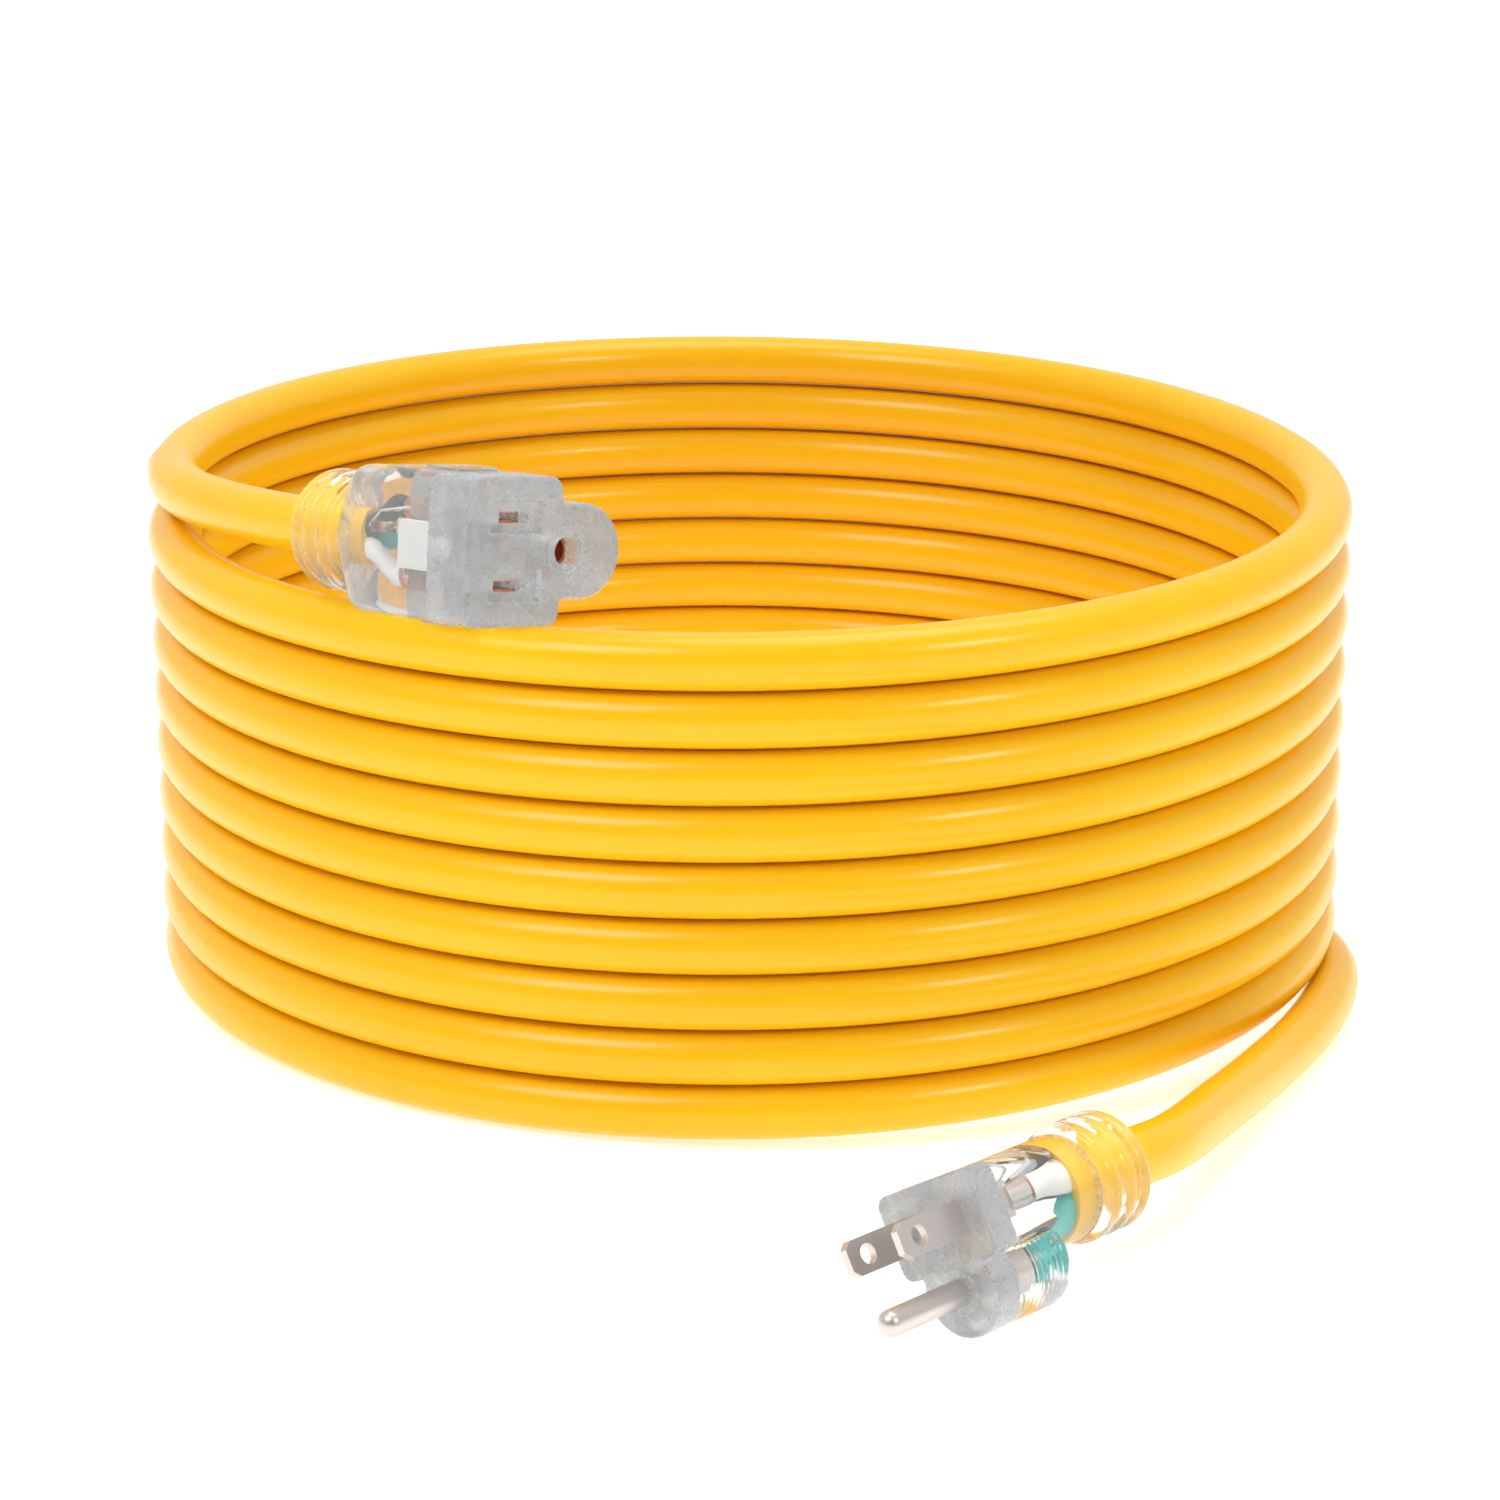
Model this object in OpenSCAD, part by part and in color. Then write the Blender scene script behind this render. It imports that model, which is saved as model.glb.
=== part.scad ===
// Heavy-duty three-wire extension cord, wound into a standing coil.
// A clear plug lies on the floor and a clear lighted connector rests on the coil's rim.
// Units are millimetres. The floor is z = 0 and +Z is up.

/* [Cord] */
// Outer diameter of the cord's jacket
cord_d = 11.05; // [10.5:0.05:11.6]
// Radius of the coil, to the middle of the cord
coil_r = 122; // [115:0.5:130]
// Height that the cord climbs in one turn
coil_pitch = 11.2; // [11.1:0.05:11.6]
// How far the stack of turns leans towards the front, in degrees
coil_lean_front = 2.5; // [0:0.1:4]
// How far the stack of turns leans to the left, in degrees
coil_lean_left = 0.8; // [0:0.1:2]
// Diameter of one insulated conductor
wire_d = 4.4; // [4:0.1:4.6]
// Diameter of the bare stranded copper inside a conductor
strand_d = 3; // [2.6:0.1:3.1]
// Wall thickness of the cord's jacket
jacket_wall = 0.75; // [0.6:0.05:0.8]

/* [Standard pin and blade sizes] */
// Distance between the middles of the two blades
blade_gap = 12.7; // [12.6:0.1:12.8]
// Thickness of a flat blade
blade_t = 1.52; // [1.4:0.01:1.6]
// Width of a flat blade
blade_w = 6.35; // [6.2:0.05:6.5]
// Length of a blade in front of the plug's face
blade_l = 16.5; // [15.9:0.1:18]
// Diameter of the round hole in a blade
blade_hole_d = 3.6; // [3.2:0.1:4.2]
// Distance from the plug's face to the middle of the blade's hole
blade_hole_z = 11.7; // [11.4:0.1:12]
// Distance from the line of the blades to the middle of the ground pin
ground_offset = 11.9; // [11.8:0.05:12]
// Diameter of the round ground pin
ground_pin_d = 4.76; // [4.7:0.01:4.8]
// Length of the ground pin in front of the plug's face
ground_pin_l = 20.6; // [19:0.1:21.5]

/* [Plug] */
// Width of the plug's face, across the blades
plug_face_w = 23; // [22.5:0.5:28]
// Height of the plug's face, not counting its ground lobe
plug_face_h = 15.6; // [15:0.2:18]
// Depth of the frosted front block
plug_block_depth = 6; // [5:0.5:9]
// Radius of the lobe around the ground pin
plug_lobe_r = 8.2; // [8:0.1:9.5]
// Length of the ribbed lobe behind the face
plug_lobe_depth = 22; // [22:0.5:27]
// Diameter of the round clear body
plug_body_d = 19.4; // [19.4:0.2:23]
// Distance from the face to the start of the collar
plug_body_depth = 34; // [34:0.5:38]
// Diameter of the ribbed collar
plug_collar_d = 22; // [21.6:0.2:26]
// Length of the ribbed collar
plug_collar_l = 13; // [12:0.5:16]
// How far the cord's axis is below the line of the blades
plug_axis_drop = 2; // [2:0.1:2.4]

/* [Connector] */
// Width of the connector's face, across the slots
conn_face_w = 28; // [27:0.5:30]
// Height of the connector's face, not counting its tongue
conn_face_h = 22.6; // [22.6:0.2:26]
// Depth of the frosted front block
conn_block_depth = 12; // [11:0.5:13]
// Half width of the rounded tongue around the ground hole
conn_tongue_r = 9; // [8.5:0.1:9.5]
// Distance from the line of the slots to the tip of the tongue
conn_tongue_reach = 25.5; // [25:0.5:29]
// Length of the tongue behind the face
conn_tongue_depth = 26; // [25:0.5:28]
// Distance from the face to the start of the collar
conn_body_depth = 39.5; // [39.5:0.5:46]
// Diameter of the ribbed collar
conn_collar_d = 23.6; // [23:0.2:24]
// Length of the ribbed collar
conn_collar_l = 15.5; // [14:0.5:18]
// Length of the long slot, for the wide neutral blade
slot_neutral_l = 8.4; // [8.2:0.1:8.8]
// Length of the short slot, for the line blade
slot_line_l = 7; // [6.8:0.1:7.4]
// Width of both slots
slot_w = 2.2; // [2:0.1:2.4]
// Diameter of the round part of the ground hole
ground_hole_d = 5.4; // [5.2:0.1:5.8]
// Inner radius of the rolled ground contact
ground_sleeve_r = 2.42; // [2.4:0.01:2.42]

/* [Placing] */
// Middle of the coil along Y, so that the whole object is centred on the origin
coil_y = 52.12; // [40:0.01:65]
// Middle of the coil along X, so that the whole object is centred on the origin
coil_x = -0.67; // [-5:0.01:5]

/* [Hidden] */

$fn = 48;
// overshoot that keeps a cut clear of the face it starts from
eps = 0.01;
// clearance around a piece that sits in another
seat = 0.05;

// --- colours ---
jacket_yellow = "gold";
clear_pvc = [0.86, 0.90, 0.92, 0.45];
frosted_pvc = [0.90, 0.92, 0.93, 0.75];
nickel = [0.62, 0.57, 0.55];
copper = [0.80, 0.47, 0.28];
insulation_black = [0.10, 0.10, 0.11];
insulation_white = [0.93, 0.93, 0.90];
insulation_green = [0.10, 0.62, 0.58];
lamp_clear = [0.88, 0.93, 0.98, 0.6];
holder_white = [0.90, 0.90, 0.86];
resistor_tan = [0.80, 0.68, 0.48];

// --- coil ---
cord_r = cord_d / 2;
// turns between the lead to the connector and the tail to the plug
coil_turns = 9.5;
full_turns = floor(coil_turns);
// winding angle whose height each quarter takes, so that the steps stand on the floor
quarter_heights = [45, 180, 180, 305];
// thickness of the wall that joins the turns into one solid
coil_web = 0.7 * cord_d;

// p turned by the coil's lean, to the front and then to the left
function leaned(p) =
    let (a = coil_lean_front, b = -coil_lean_left, z = p[1] * sin(a) + p[2] * cos(a))
    [p[0] * cos(b) + z * sin(b), p[1] * cos(a) - p[2] * sin(a), z * cos(b) - p[0] * sin(b)];

// middle of the cord after so many degrees of winding, before the coil leans
function wound(degrees) =
    [coil_r * cos(180 - degrees), coil_r * sin(180 - degrees),
        coil_turns * coil_pitch + cord_r - coil_pitch * degrees / 360];

// middle of the coil on the floor, lifted so that the lowest turn just meets the floor
coil_base = [coil_x, coil_y, cord_r - leaned(wound(360 * coil_turns))[2]];

function on_coil(degrees) = coil_base + leaned(wound(degrees));

// --- how the two ends lie: heading, rise and roll, in degrees ---
plug_turn = [228, 0, 60];
conn_turn = [-47, 4.5, 7];

// --- where the two ends lie, measured from the middle of the coil on the floor ---
floor_centre = [coil_x, coil_y, 0];
plug_at = floor_centre + [31.2, -211.5, plug_lobe_r + ground_offset * sin(plug_turn[2])];
conn_at = floor_centre + [-44.6, -127, 116.6];

// direction that an end's face looks in
function facing(turn) = [cos(turn[1]) * cos(turn[0]), cos(turn[1]) * sin(turn[0]), sin(turn[1])];

// direction from an end's blades or slots towards its ground pin or hole
function groundward(turn) =
    let (side = [sin(turn[0]), -cos(turn[0]), 0], top = cross(side, facing(turn)))
    -cos(turn[2]) * side - sin(turn[2]) * top;

plug_length = plug_body_depth + plug_collar_l;
conn_length = conn_body_depth + conn_collar_l;
plug_cord_exit = plug_at - plug_length * facing(plug_turn) + plug_axis_drop * groundward(plug_turn);
conn_cord_exit = conn_at - conn_length * facing(conn_turn);

// --- free stretches of cord, as points measured from the middle of the coil on the floor ---
lead_route = [
    [-123, -14.3, 108.4], [-121.4, -23.4, 108.5], [-118.9, -32.1, 108.7], [-115.6, -40.5, 109],
    [-111.6, -48.5, 109.4], [-107, -56.1, 109.8], [-102, -63.4, 110.3], [-96.7, -70.4, 110.8],
    [-91.1, -77, 111.3], [-86.6, -81.9, 111.8]];
tail_route = [
    [123.2, -7, 5.55], [124.6, -15, 5.6], [124.9, -24, 5.6], [123.6, -35, 5.6],
    [120.9, -46.5, 5.6], [117.3, -58, 5.7], [113, -69.5, 5.9], [108.3, -81, 6.3],
    [103.4, -92.5, 7], [98.6, -104, 7.9], [93.9, -115.5, 9.1], [89.2, -127, 10.5],
    [84.6, -138.5, 11.8], [80.3, -149.5, 13.3], [75.8, -159.5, 14.7],
    [71.4, -166.7, 15.7], [67.4, -172.3, 16.4]];
tube_sides = 12;
// direction that no wire inside an end runs along
wire_across = [0.4, 1, 0.3];

// --- pieces that both ends share ---
// distance of each conductor's middle from the cord's axis
lay_r = wire_d / sqrt(3);
wire_r = wire_d / 2 - seat;
crimp_d = 4.9;
crimp_l = 6;
// bare copper that shows between the insulation and a crimp
bare_l = 1.2;
lamp_d = 4;
resistor_d = 2.3;
resistor_l = 6.4;
lead_r = 0.35;

// --- plug, in its own frame: +Z out of the face, +X across the blades, -Y to the ground pin ---
blade_tip = 1.4;
blade_root = 10.5;
plug_crimp_z = -15.5;
pin_root = 10.5;
rim_h = 0.6;
pin_shoulder = rim_h + 0.1; // full radius starts clear of the ring round the pin
plug_jacket_z = -29.5;
plug_lay_z = -28;
plug_cavity_r = 8.9;
plug_cavity_end = 31;
plug_waist_z = -24;
plug_lamp_at = [0, 3.3, -24];
plug_lamp_l = 7;
plug_resistor_at = [-resistor_l / 2, 3.4, -27.6];

// --- connector, in its own frame: the same axes, with the slots for the blades ---
conn_corner = 3;
conn_wall = 1.6;
conn_cavity_end = 36.5;
conn_shoulder_z = -33;
tongue_cavity_w = 12;
tongue_cavity_end = 24;
carrier_end = 22;
contact_start = 3.5;
contact_end = 19;
contact_w = 6;
contact_t = 2.6;
contact_mouth = 1.4;
sleeve_wall = 0.7;
sleeve_end = 18;
conn_crimp_z = -25;
ground_crimp_y = -7;
ground_crimp_z = -27.5;
conn_jacket_z = -36;
conn_lay_z = -35.1;
conn_lamp_y = 7.2;
conn_lamp_l = 8;
holder_end = 22;
conn_resistor_at = [2.6, 7.6, -31];
conn_tab = [10, 9, 0.8];

// ---------------------------------------------------------------- shared forms

// moves its children from the plug's own frame into place
module at_plug() {
    placed(plug_at, plug_turn) children();
}

// moves its children from the connector's own frame into place
module at_connector() {
    placed(conn_at, conn_turn) children();
}

module placed(at, turn) {
    translate(at)
        rotate([0, 90 - turn[1], turn[0]])
            rotate([0, 0, 180 - turn[2]])
                children();
}

// rectangle w by h about the origin, with round corners
module round_rect(w, h, r) {
    square([w - 2 * r, h], center = true);
    square([w, h - 2 * r], center = true);
    for (sx = [-1, 1], sy = [-1, 1])
        translate([sx * (w / 2 - r), sy * (h / 2 - r)])
            circle(r);
}

// extrusion of its children from z = high down to z = low
module slab(high, low) {
    translate([0, 0, low])
        linear_extrude(high - low)
            children();
}

function unit(v) = v / norm(v);

// travel direction of a route at its point i, halfway between the stretches that meet there
function heading(route, i) = unit(unit(route[i] - route[i - 1]) + unit(route[i + 1] - route[i]));

// ring of points about c, square to the direction t and starting square to across
function ring(c, r, t, across) =
    let (side = unit(cross(t, across)), top = cross(side, t))
    [for (k = [0 : tube_sides - 1])
        let (turn = 360 * k / tube_sides)
        c + r * (cos(turn) * side + sin(turn) * top)];

// closed tube swept along a route, with flat ends square to its two end directions
module tube(route, r, first_dir, last_dir, across) {
    last = len(route) - 1;
    dirs = [for (i = [0 : last]) i == 0 ? first_dir : i == last ? last_dir : heading(route, i)];
    walls = [for (i = [0 : last - 1], k = [0 : tube_sides - 1])
        let (a = i * tube_sides + k, b = i * tube_sides + (k + 1) % tube_sides)
        [a, b, b + tube_sides, a + tube_sides]];
    first_cap = [for (k = [tube_sides - 1 : -1 : 0]) k];
    last_cap = [for (k = [0 : tube_sides - 1]) last * tube_sides + k];
    polyhedron([for (i = [0 : last]) each ring(route[i], r, dirs[i], across)],
        concat(walls, [first_cap, last_cap]));
}

// wire swept along a route inside a moulded end, both ends square to its own stretch
module wire(route, r) {
    last = len(route) - 1;
    tube(route, r, unit(route[1] - route[0]), unit(route[last] - route[last - 1]), wire_across);
}

// end of the jacket inside a moulded end, stripped back to show the conductors
module jacket_end(from, to) {
    difference() {
        translate([0, 0, from])
            cylinder(h = to - from, r = cord_r);
        translate([0, 0, from - eps])
            cylinder(h = to - from + 2 * eps, r = cord_r - jacket_wall);
    }
}

// place of a conductor in the cord: 270 is the ground side, 30 and 150 are the other two
function lay(turn, z) = [lay_r * cos(turn), lay_r * sin(turn), z];

// insulated conductor from inside the jacket out to the point where its copper is bared
module conductor(turn, jacket_from, fan_z, bared) {
    wire([lay(turn, jacket_from), lay(turn, fan_z), bared - [0, 0, 2.5], bared], wire_r);
}

// bared copper from the insulation into a crimp
module strands(bared) {
    translate(bared + [0, 0, seat])
        cylinder(h = bare_l + crimp_l - 1, d = strand_d);
}

// crimp barrel with its open mouth at z = low
module crimp(low, length) {
    difference() {
        translate([0, 0, low])
            cylinder(h = length, d = crimp_d);
        translate([0, 0, low - eps])
            cylinder(h = crimp_l - 0.5, d = strand_d + 2 * seat);
    }
}

// small lamp with a domed lens towards +Z
module lamp(length) {
    cylinder(h = length - lamp_d / 2, d = lamp_d);
    translate([0, 0, length - lamp_d / 2])
        sphere(d = lamp_d);
}

// small resistor along +X, fatter at its two ends
module resistor() {
    rotate([0, 90, 0]) {
        cylinder(h = resistor_l, d = resistor_d - 0.4);
        for (z = [0, resistor_l - 1.6])
            translate([0, 0, z])
                cylinder(h = 1.6, d = resistor_d);
    }
}

// strain-relief collar below z = 0: round ribs, flex slots and a domed rear end
module ribbed_collar(d, length) {
    r = d / 2;
    dome = 2.5;
    groove_r = 0.6;
    groove_pitch = length / 4;
    flex_l = 0.6 * d;
    flex_w = 0.9;
    difference() {
        rotate_extrude() {
            translate([cord_r + seat, -length])
                square([r - dome - cord_r - seat, length]);
            translate([cord_r + seat, dome - length])
                square([r - cord_r - seat, length - dome]);
            translate([r - dome, dome - length])
                circle(dome);
        }
        for (k = [1 : 3])
            translate([0, 0, -k * groove_pitch])
                rotate_extrude()
                    translate([r, 0])
                        circle(groove_r);
        for (k = [0 : 1], turn = [0 : 90 : 270])
            rotate([0, 0, turn + 45 * k])
                translate([r - 1.8, -flex_l / 2, -(k + 1.5) * groove_pitch - flex_w / 2])
                    cube([3, flex_l, flex_w]);
    }
}

// ---------------------------------------------------------------- cord

// one quarter of the standing coil: its turns in section, joined by a thin wall
module coil_quarter(top_z, turns) {
    rotate_extrude(angle = 90) {
        translate([coil_r - coil_web / 2, top_z - (turns - 1) * coil_pitch])
            square([coil_web, (turns - 1) * coil_pitch]);
        for (k = [0 : turns - 1])
            translate([coil_r, top_z - k * coil_pitch])
                circle(cord_r);
    }
}

// the back half has one turn more than the front half
module cord_coil() {
    color(jacket_yellow)
        translate(coil_base)
            rotate([coil_lean_front, -coil_lean_left, 0])
                for (q = [0 : 3])
                    rotate([0, 0, 90 * (1 - q)])
                        coil_quarter(wound(quarter_heights[q])[2], q < 2 ? full_turns + 1 : full_turns);
}

module cord_lead_connector() {
    free = [for (q = lead_route) floor_centre + q];
    color(jacket_yellow)
        tube(concat([on_coil(0)], free, [conn_cord_exit]), cord_r,
            leaned([0, -1, 0]), facing(conn_turn), [0, 0, 1]);
}

module cord_lead_plug() {
    free = [for (q = tail_route) floor_centre + q];
    color(jacket_yellow)
        tube(concat([on_coil(360 * coil_turns)], free, [plug_cord_exit]), cord_r,
            leaned([0, -1, 0]), facing(plug_turn), [0, 0, 1]);
}

// ---------------------------------------------------------------- plug

// places where each conductor's insulation ends in the plug
plug_bared_line = [-blade_gap / 2, 0, plug_crimp_z - bare_l];
plug_bared_neutral = [blade_gap / 2, 0, plug_crimp_z - bare_l];
plug_bared_ground = [0, -ground_offset, plug_crimp_z - bare_l];

module plug_face_block() {
    rim_r = ground_pin_d / 2 + 1.7;
    color(frosted_pvc)
        at_plug()
            difference() {
                union() {
                    slab(0, -plug_block_depth) {
                        round_rect(plug_face_w, plug_face_h, 2.2);
                        translate([0, -ground_offset])
                            circle(plug_lobe_r);
                    }
                    translate([0, -ground_offset, 0])
                        cylinder(h = rim_h, r = rim_r);
                }
                for (side = [-1, 1])
                    translate([side * blade_gap / 2, 0, -plug_block_depth / 2])
                        cube([blade_t + 2 * seat, blade_w + 2 * seat, plug_block_depth + 1], center = true);
                translate([0, -ground_offset, -plug_block_depth - eps])
                    cylinder(h = plug_block_depth + 1, d = ground_pin_d + 2 * seat);
            }
}

module plug_shell() {
    rib_pitch = 1.7;
    rib_h = 0.3;
    crimp_room = crimp_d / 2 + 0.6;
    color(clear_pvc)
        at_plug()
            difference() {
                union() {
                    hull() {
                        slab(-plug_block_depth, -plug_block_depth - 1)
                            round_rect(plug_face_w, plug_face_h, 2.2);
                        translate([0, -plug_axis_drop, plug_waist_z])
                            cylinder(h = 1, d = plug_body_d, $fn = 32);
                    }
                    translate([0, -plug_axis_drop, -plug_body_depth])
                        cylinder(h = plug_body_depth + plug_waist_z, d = plug_body_d);
                    translate([0, -ground_offset, -plug_lobe_depth])
                        cylinder(h = plug_lobe_depth - plug_block_depth, r = plug_lobe_r - rib_h);
                    for (k = [0 : 5])
                        translate([0, -ground_offset, -11 - rib_pitch * k])
                            cylinder(h = 0.8, r = plug_lobe_r, center = true);
                }
                translate([0, -plug_axis_drop, -plug_cavity_end])
                    cylinder(h = plug_cavity_end - plug_block_depth + eps, r = plug_cavity_r);
                for (side = [-1, 1])
                    translate([side * blade_gap / 2, 0, -17])
                        cylinder(h = 17 - plug_block_depth + eps, r = crimp_room);
                translate([0, -ground_offset, 0.7 - plug_lobe_depth])
                    cylinder(h = plug_lobe_depth - 0.7 - plug_block_depth + eps, r = 3.6);
                translate([0, -plug_axis_drop, -plug_body_depth - eps])
                    cylinder(h = 6, r = cord_r + seat);
            }
}

module plug_collar() {
    color(clear_pvc)
        at_plug()
            translate([0, -plug_axis_drop, -plug_body_depth])
                ribbed_collar(plug_collar_d, plug_collar_l);
}

// flat blade with a chamfered tip, a round hole and a crimp barrel behind it
module blade(side) {
    half = blade_w / 2;
    color(nickel)
        at_plug()
            translate([side * blade_gap / 2, 0, 0]) {
                difference() {
                    translate([-blade_t / 2, 0, 0])
                        rotate([90, 0, 90])
                            linear_extrude(blade_t)
                                polygon([[-half, -blade_root], [half, -blade_root],
                                    [half, blade_l - blade_tip], [half - blade_tip, blade_l],
                                    [blade_tip - half, blade_l], [-half, blade_l - blade_tip]]);
                    translate([0, 0, blade_hole_z])
                        rotate([0, 90, 0])
                            cylinder(h = blade_t + 1, d = blade_hole_d, center = true);
                }
                crimp(plug_crimp_z, crimp_l);
            }
}

module plug_blade_line() {
    blade(-1);
}

module plug_blade_neutral() {
    blade(1);
}

// round ground pin with a domed tip and a crimp barrel behind it
module plug_ground_pin() {
    r = ground_pin_d / 2;
    color(nickel)
        at_plug()
            translate([0, -ground_offset, 0]) {
                translate([0, 0, -pin_root])
                    cylinder(h = pin_root + pin_shoulder, r = r - 0.2);
                translate([0, 0, pin_shoulder])
                    cylinder(h = ground_pin_l - r - pin_shoulder, r = r);
                translate([0, 0, ground_pin_l - r])
                    sphere(r);
                crimp(plug_crimp_z, crimp_l);
            }
}

module plug_jacket_end() {
    color(jacket_yellow)
        at_plug()
            translate([0, -plug_axis_drop, 0])
                jacket_end(-plug_length, plug_jacket_z);
}

// conductor of the plug, drawn about the cord's axis
module plug_conductor(turn, bared) {
    at_plug()
        translate([0, -plug_axis_drop, 0])
            conductor(turn, 1 - plug_length, plug_lay_z, bared + [0, plug_axis_drop, 0]);
}

module plug_wire_line() {
    color(insulation_black)
        plug_conductor(150, plug_bared_line);
}

module plug_wire_neutral() {
    color(insulation_white)
        plug_conductor(30, plug_bared_neutral);
}

// the ground conductor drops into the lobe behind its pin
module plug_wire_ground() {
    drop = plug_axis_drop;
    color(insulation_green)
        at_plug()
            translate([0, -drop, 0])
                wire([lay(270, 1 - plug_length), lay(270, plug_lay_z), [0, drop - 7.2, -23.8],
                    [0, drop - ground_offset, -19.3], plug_bared_ground + [0, drop, 0]], wire_r);
}

module plug_strand_ends() {
    color(copper)
        at_plug() {
            strands(plug_bared_line);
            strands(plug_bared_neutral);
            strands(plug_bared_ground);
        }
}

module plug_lamp() {
    color(lamp_clear)
        at_plug()
            translate(plug_lamp_at)
                lamp(plug_lamp_l);
}

module plug_lamp_resistor() {
    color(resistor_tan)
        at_plug()
            translate(plug_resistor_at)
                resistor();
}

// leads from the lamp to the neutral crimp, and through the resistor to the line crimp
module plug_lamp_leads() {
    lamp_z = plug_lamp_at[2] - seat;
    resistor_y = plug_resistor_at[1];
    resistor_z = plug_resistor_at[2];
    near_end = resistor_l / 2 + seat;
    over_crimp = crimp_d / 2 + lead_r + seat;
    color(nickel)
        at_plug() {
            wire([[0.8, plug_lamp_at[1], lamp_z], [0.8, plug_lamp_at[1], lamp_z - 1],
                [near_end + 0.9, resistor_y, resistor_z + 0.8], [near_end + 0.9, resistor_y, resistor_z],
                [near_end, resistor_y, resistor_z]], lead_r);
            wire([[-near_end, resistor_y, resistor_z], [-near_end - 0.9, resistor_y, resistor_z],
                [-blade_gap / 2, over_crimp + 1, -20], [-blade_gap / 2, over_crimp, plug_crimp_z + 1],
                [-blade_gap / 2, over_crimp, plug_crimp_z + 3]], lead_r);
            wire([[-0.8, plug_lamp_at[1], lamp_z], [-0.8, 6, lamp_z - 0.6],
                [blade_gap / 2, over_crimp + 1, -20], [blade_gap / 2, over_crimp, plug_crimp_z + 1],
                [blade_gap / 2, over_crimp, plug_crimp_z + 3]], lead_r);
        }
}

// ---------------------------------------------------------------- connector

// places where each conductor's insulation ends in the connector
conn_bared_line = [blade_gap / 2, 0, conn_crimp_z - bare_l];
conn_bared_neutral = [-blade_gap / 2, 0, conn_crimp_z - bare_l];
conn_bared_ground = [0, ground_crimp_y, ground_crimp_z - bare_l];

// outline of the tongue around the ground hole
module tongue_outline() {
    tip_y = conn_tongue_r - conn_tongue_reach;
    translate([0, tip_y])
        circle(conn_tongue_r);
    translate([-conn_tongue_r, tip_y])
        square([2 * conn_tongue_r, -tip_y]);
}

// pocket behind a slot, wide enough for a contact
module contact_pocket(side, low) {
    translate([side * blade_gap / 2, 0, (low - contact_start + seat) / 2])
        cube([contact_t + 2 * seat, contact_w + 2 * seat, -low - contact_start + seat], center = true);
}

module connector_face_block() {
    recess = [5, 11, 1];
    ground_y = -ground_offset;
    sleeve_r = ground_sleeve_r + sleeve_wall + seat;
    color(frosted_pvc)
        at_connector()
            difference() {
                slab(0, -conn_block_depth) {
                    round_rect(conn_face_w, conn_face_h, conn_corner);
                    tongue_outline();
                }
                for (side = [-1, 1]) {
                    slot_l = side < 0 ? slot_neutral_l : slot_line_l;
                    translate([side * blade_gap / 2, 0, -contact_start / 2])
                        cube([slot_w, slot_l, contact_start + 1], center = true);
                    translate([side * blade_gap / 2, 0, -recess[2] / 2 + eps])
                        cube([recess[0], recess[1], recess[2]], center = true);
                    contact_pocket(side, -conn_block_depth - 1);
                }
                translate([0, ground_y, -contact_start - eps])
                    cylinder(h = contact_start + 1, d = ground_hole_d);
                translate([-ground_hole_d / 2, ground_y - ground_hole_d / 2, -contact_start - eps])
                    cube([ground_hole_d, ground_hole_d / 2, contact_start + 1]);
                translate([0, ground_y, -conn_block_depth - eps])
                    cylinder(h = conn_block_depth - contact_start + eps, r = sleeve_r);
                translate([0, conn_lamp_y, -conn_block_depth - eps])
                    cylinder(h = conn_lamp_l / 2, d = lamp_d + 2 * seat);
            }
}

// inner block that holds the three contacts in line with the slots
module connector_contact_carrier() {
    inner_w = conn_face_w - 2 * conn_wall - 2 * seat;
    color(holder_white)
        at_connector()
            difference() {
                slab(-conn_block_depth, -carrier_end) {
                    translate([-inner_w / 2, -9.5])
                        square([inner_w, 14]);
                    translate([-5.5, -17.5])
                        square([11, 9]);
                }
                for (side = [-1, 1])
                    contact_pocket(side, -carrier_end - 1);
                translate([0, -ground_offset, -carrier_end - eps])
                    cylinder(h = carrier_end - conn_block_depth + 2 * eps, r = 3.9);
            }
}

module connector_shell() {
    inner_w = conn_face_w - 2 * conn_wall;
    inner_h = conn_face_h - 2 * conn_wall;
    tongue_in = conn_tongue_reach - 4.5;
    color(clear_pvc)
        at_connector()
            difference() {
                union() {
                    slab(-conn_block_depth, conn_shoulder_z)
                        round_rect(conn_face_w, conn_face_h, conn_corner);
                    slab(-conn_block_depth, -conn_tongue_depth)
                        tongue_outline();
                    hull() {
                        slab(conn_shoulder_z + 1, conn_shoulder_z)
                            round_rect(conn_face_w, conn_face_h, conn_corner);
                        translate([0, 0, -conn_body_depth])
                            cylinder(h = 1, d = conn_collar_d - 1, $fn = 32);
                    }
                    for (side = [-1, 1])
                        translate([side * conn_face_w / 2, 0, -conn_block_depth - conn_tab[1] / 2])
                            cube([2 * conn_tab[2], conn_tab[0], conn_tab[1]], center = true);
                }
                slab(eps - conn_block_depth, conn_shoulder_z)
                    round_rect(inner_w, inner_h, 2);
                slab(eps + conn_shoulder_z, -conn_cavity_end)
                    round_rect(inner_w - 5, inner_h - 3.4, 2);
                translate([-tongue_cavity_w / 2, -tongue_in, -tongue_cavity_end])
                    cube([tongue_cavity_w, tongue_in, tongue_cavity_end - conn_block_depth + eps]);
                translate([0, 0, -conn_body_depth - eps])
                    cylinder(h = 6, r = cord_r + seat);
            }
}

module connector_collar() {
    color(clear_pvc)
        at_connector()
            translate([0, 0, -conn_body_depth])
                ribbed_collar(conn_collar_d, conn_collar_l);
}

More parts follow.
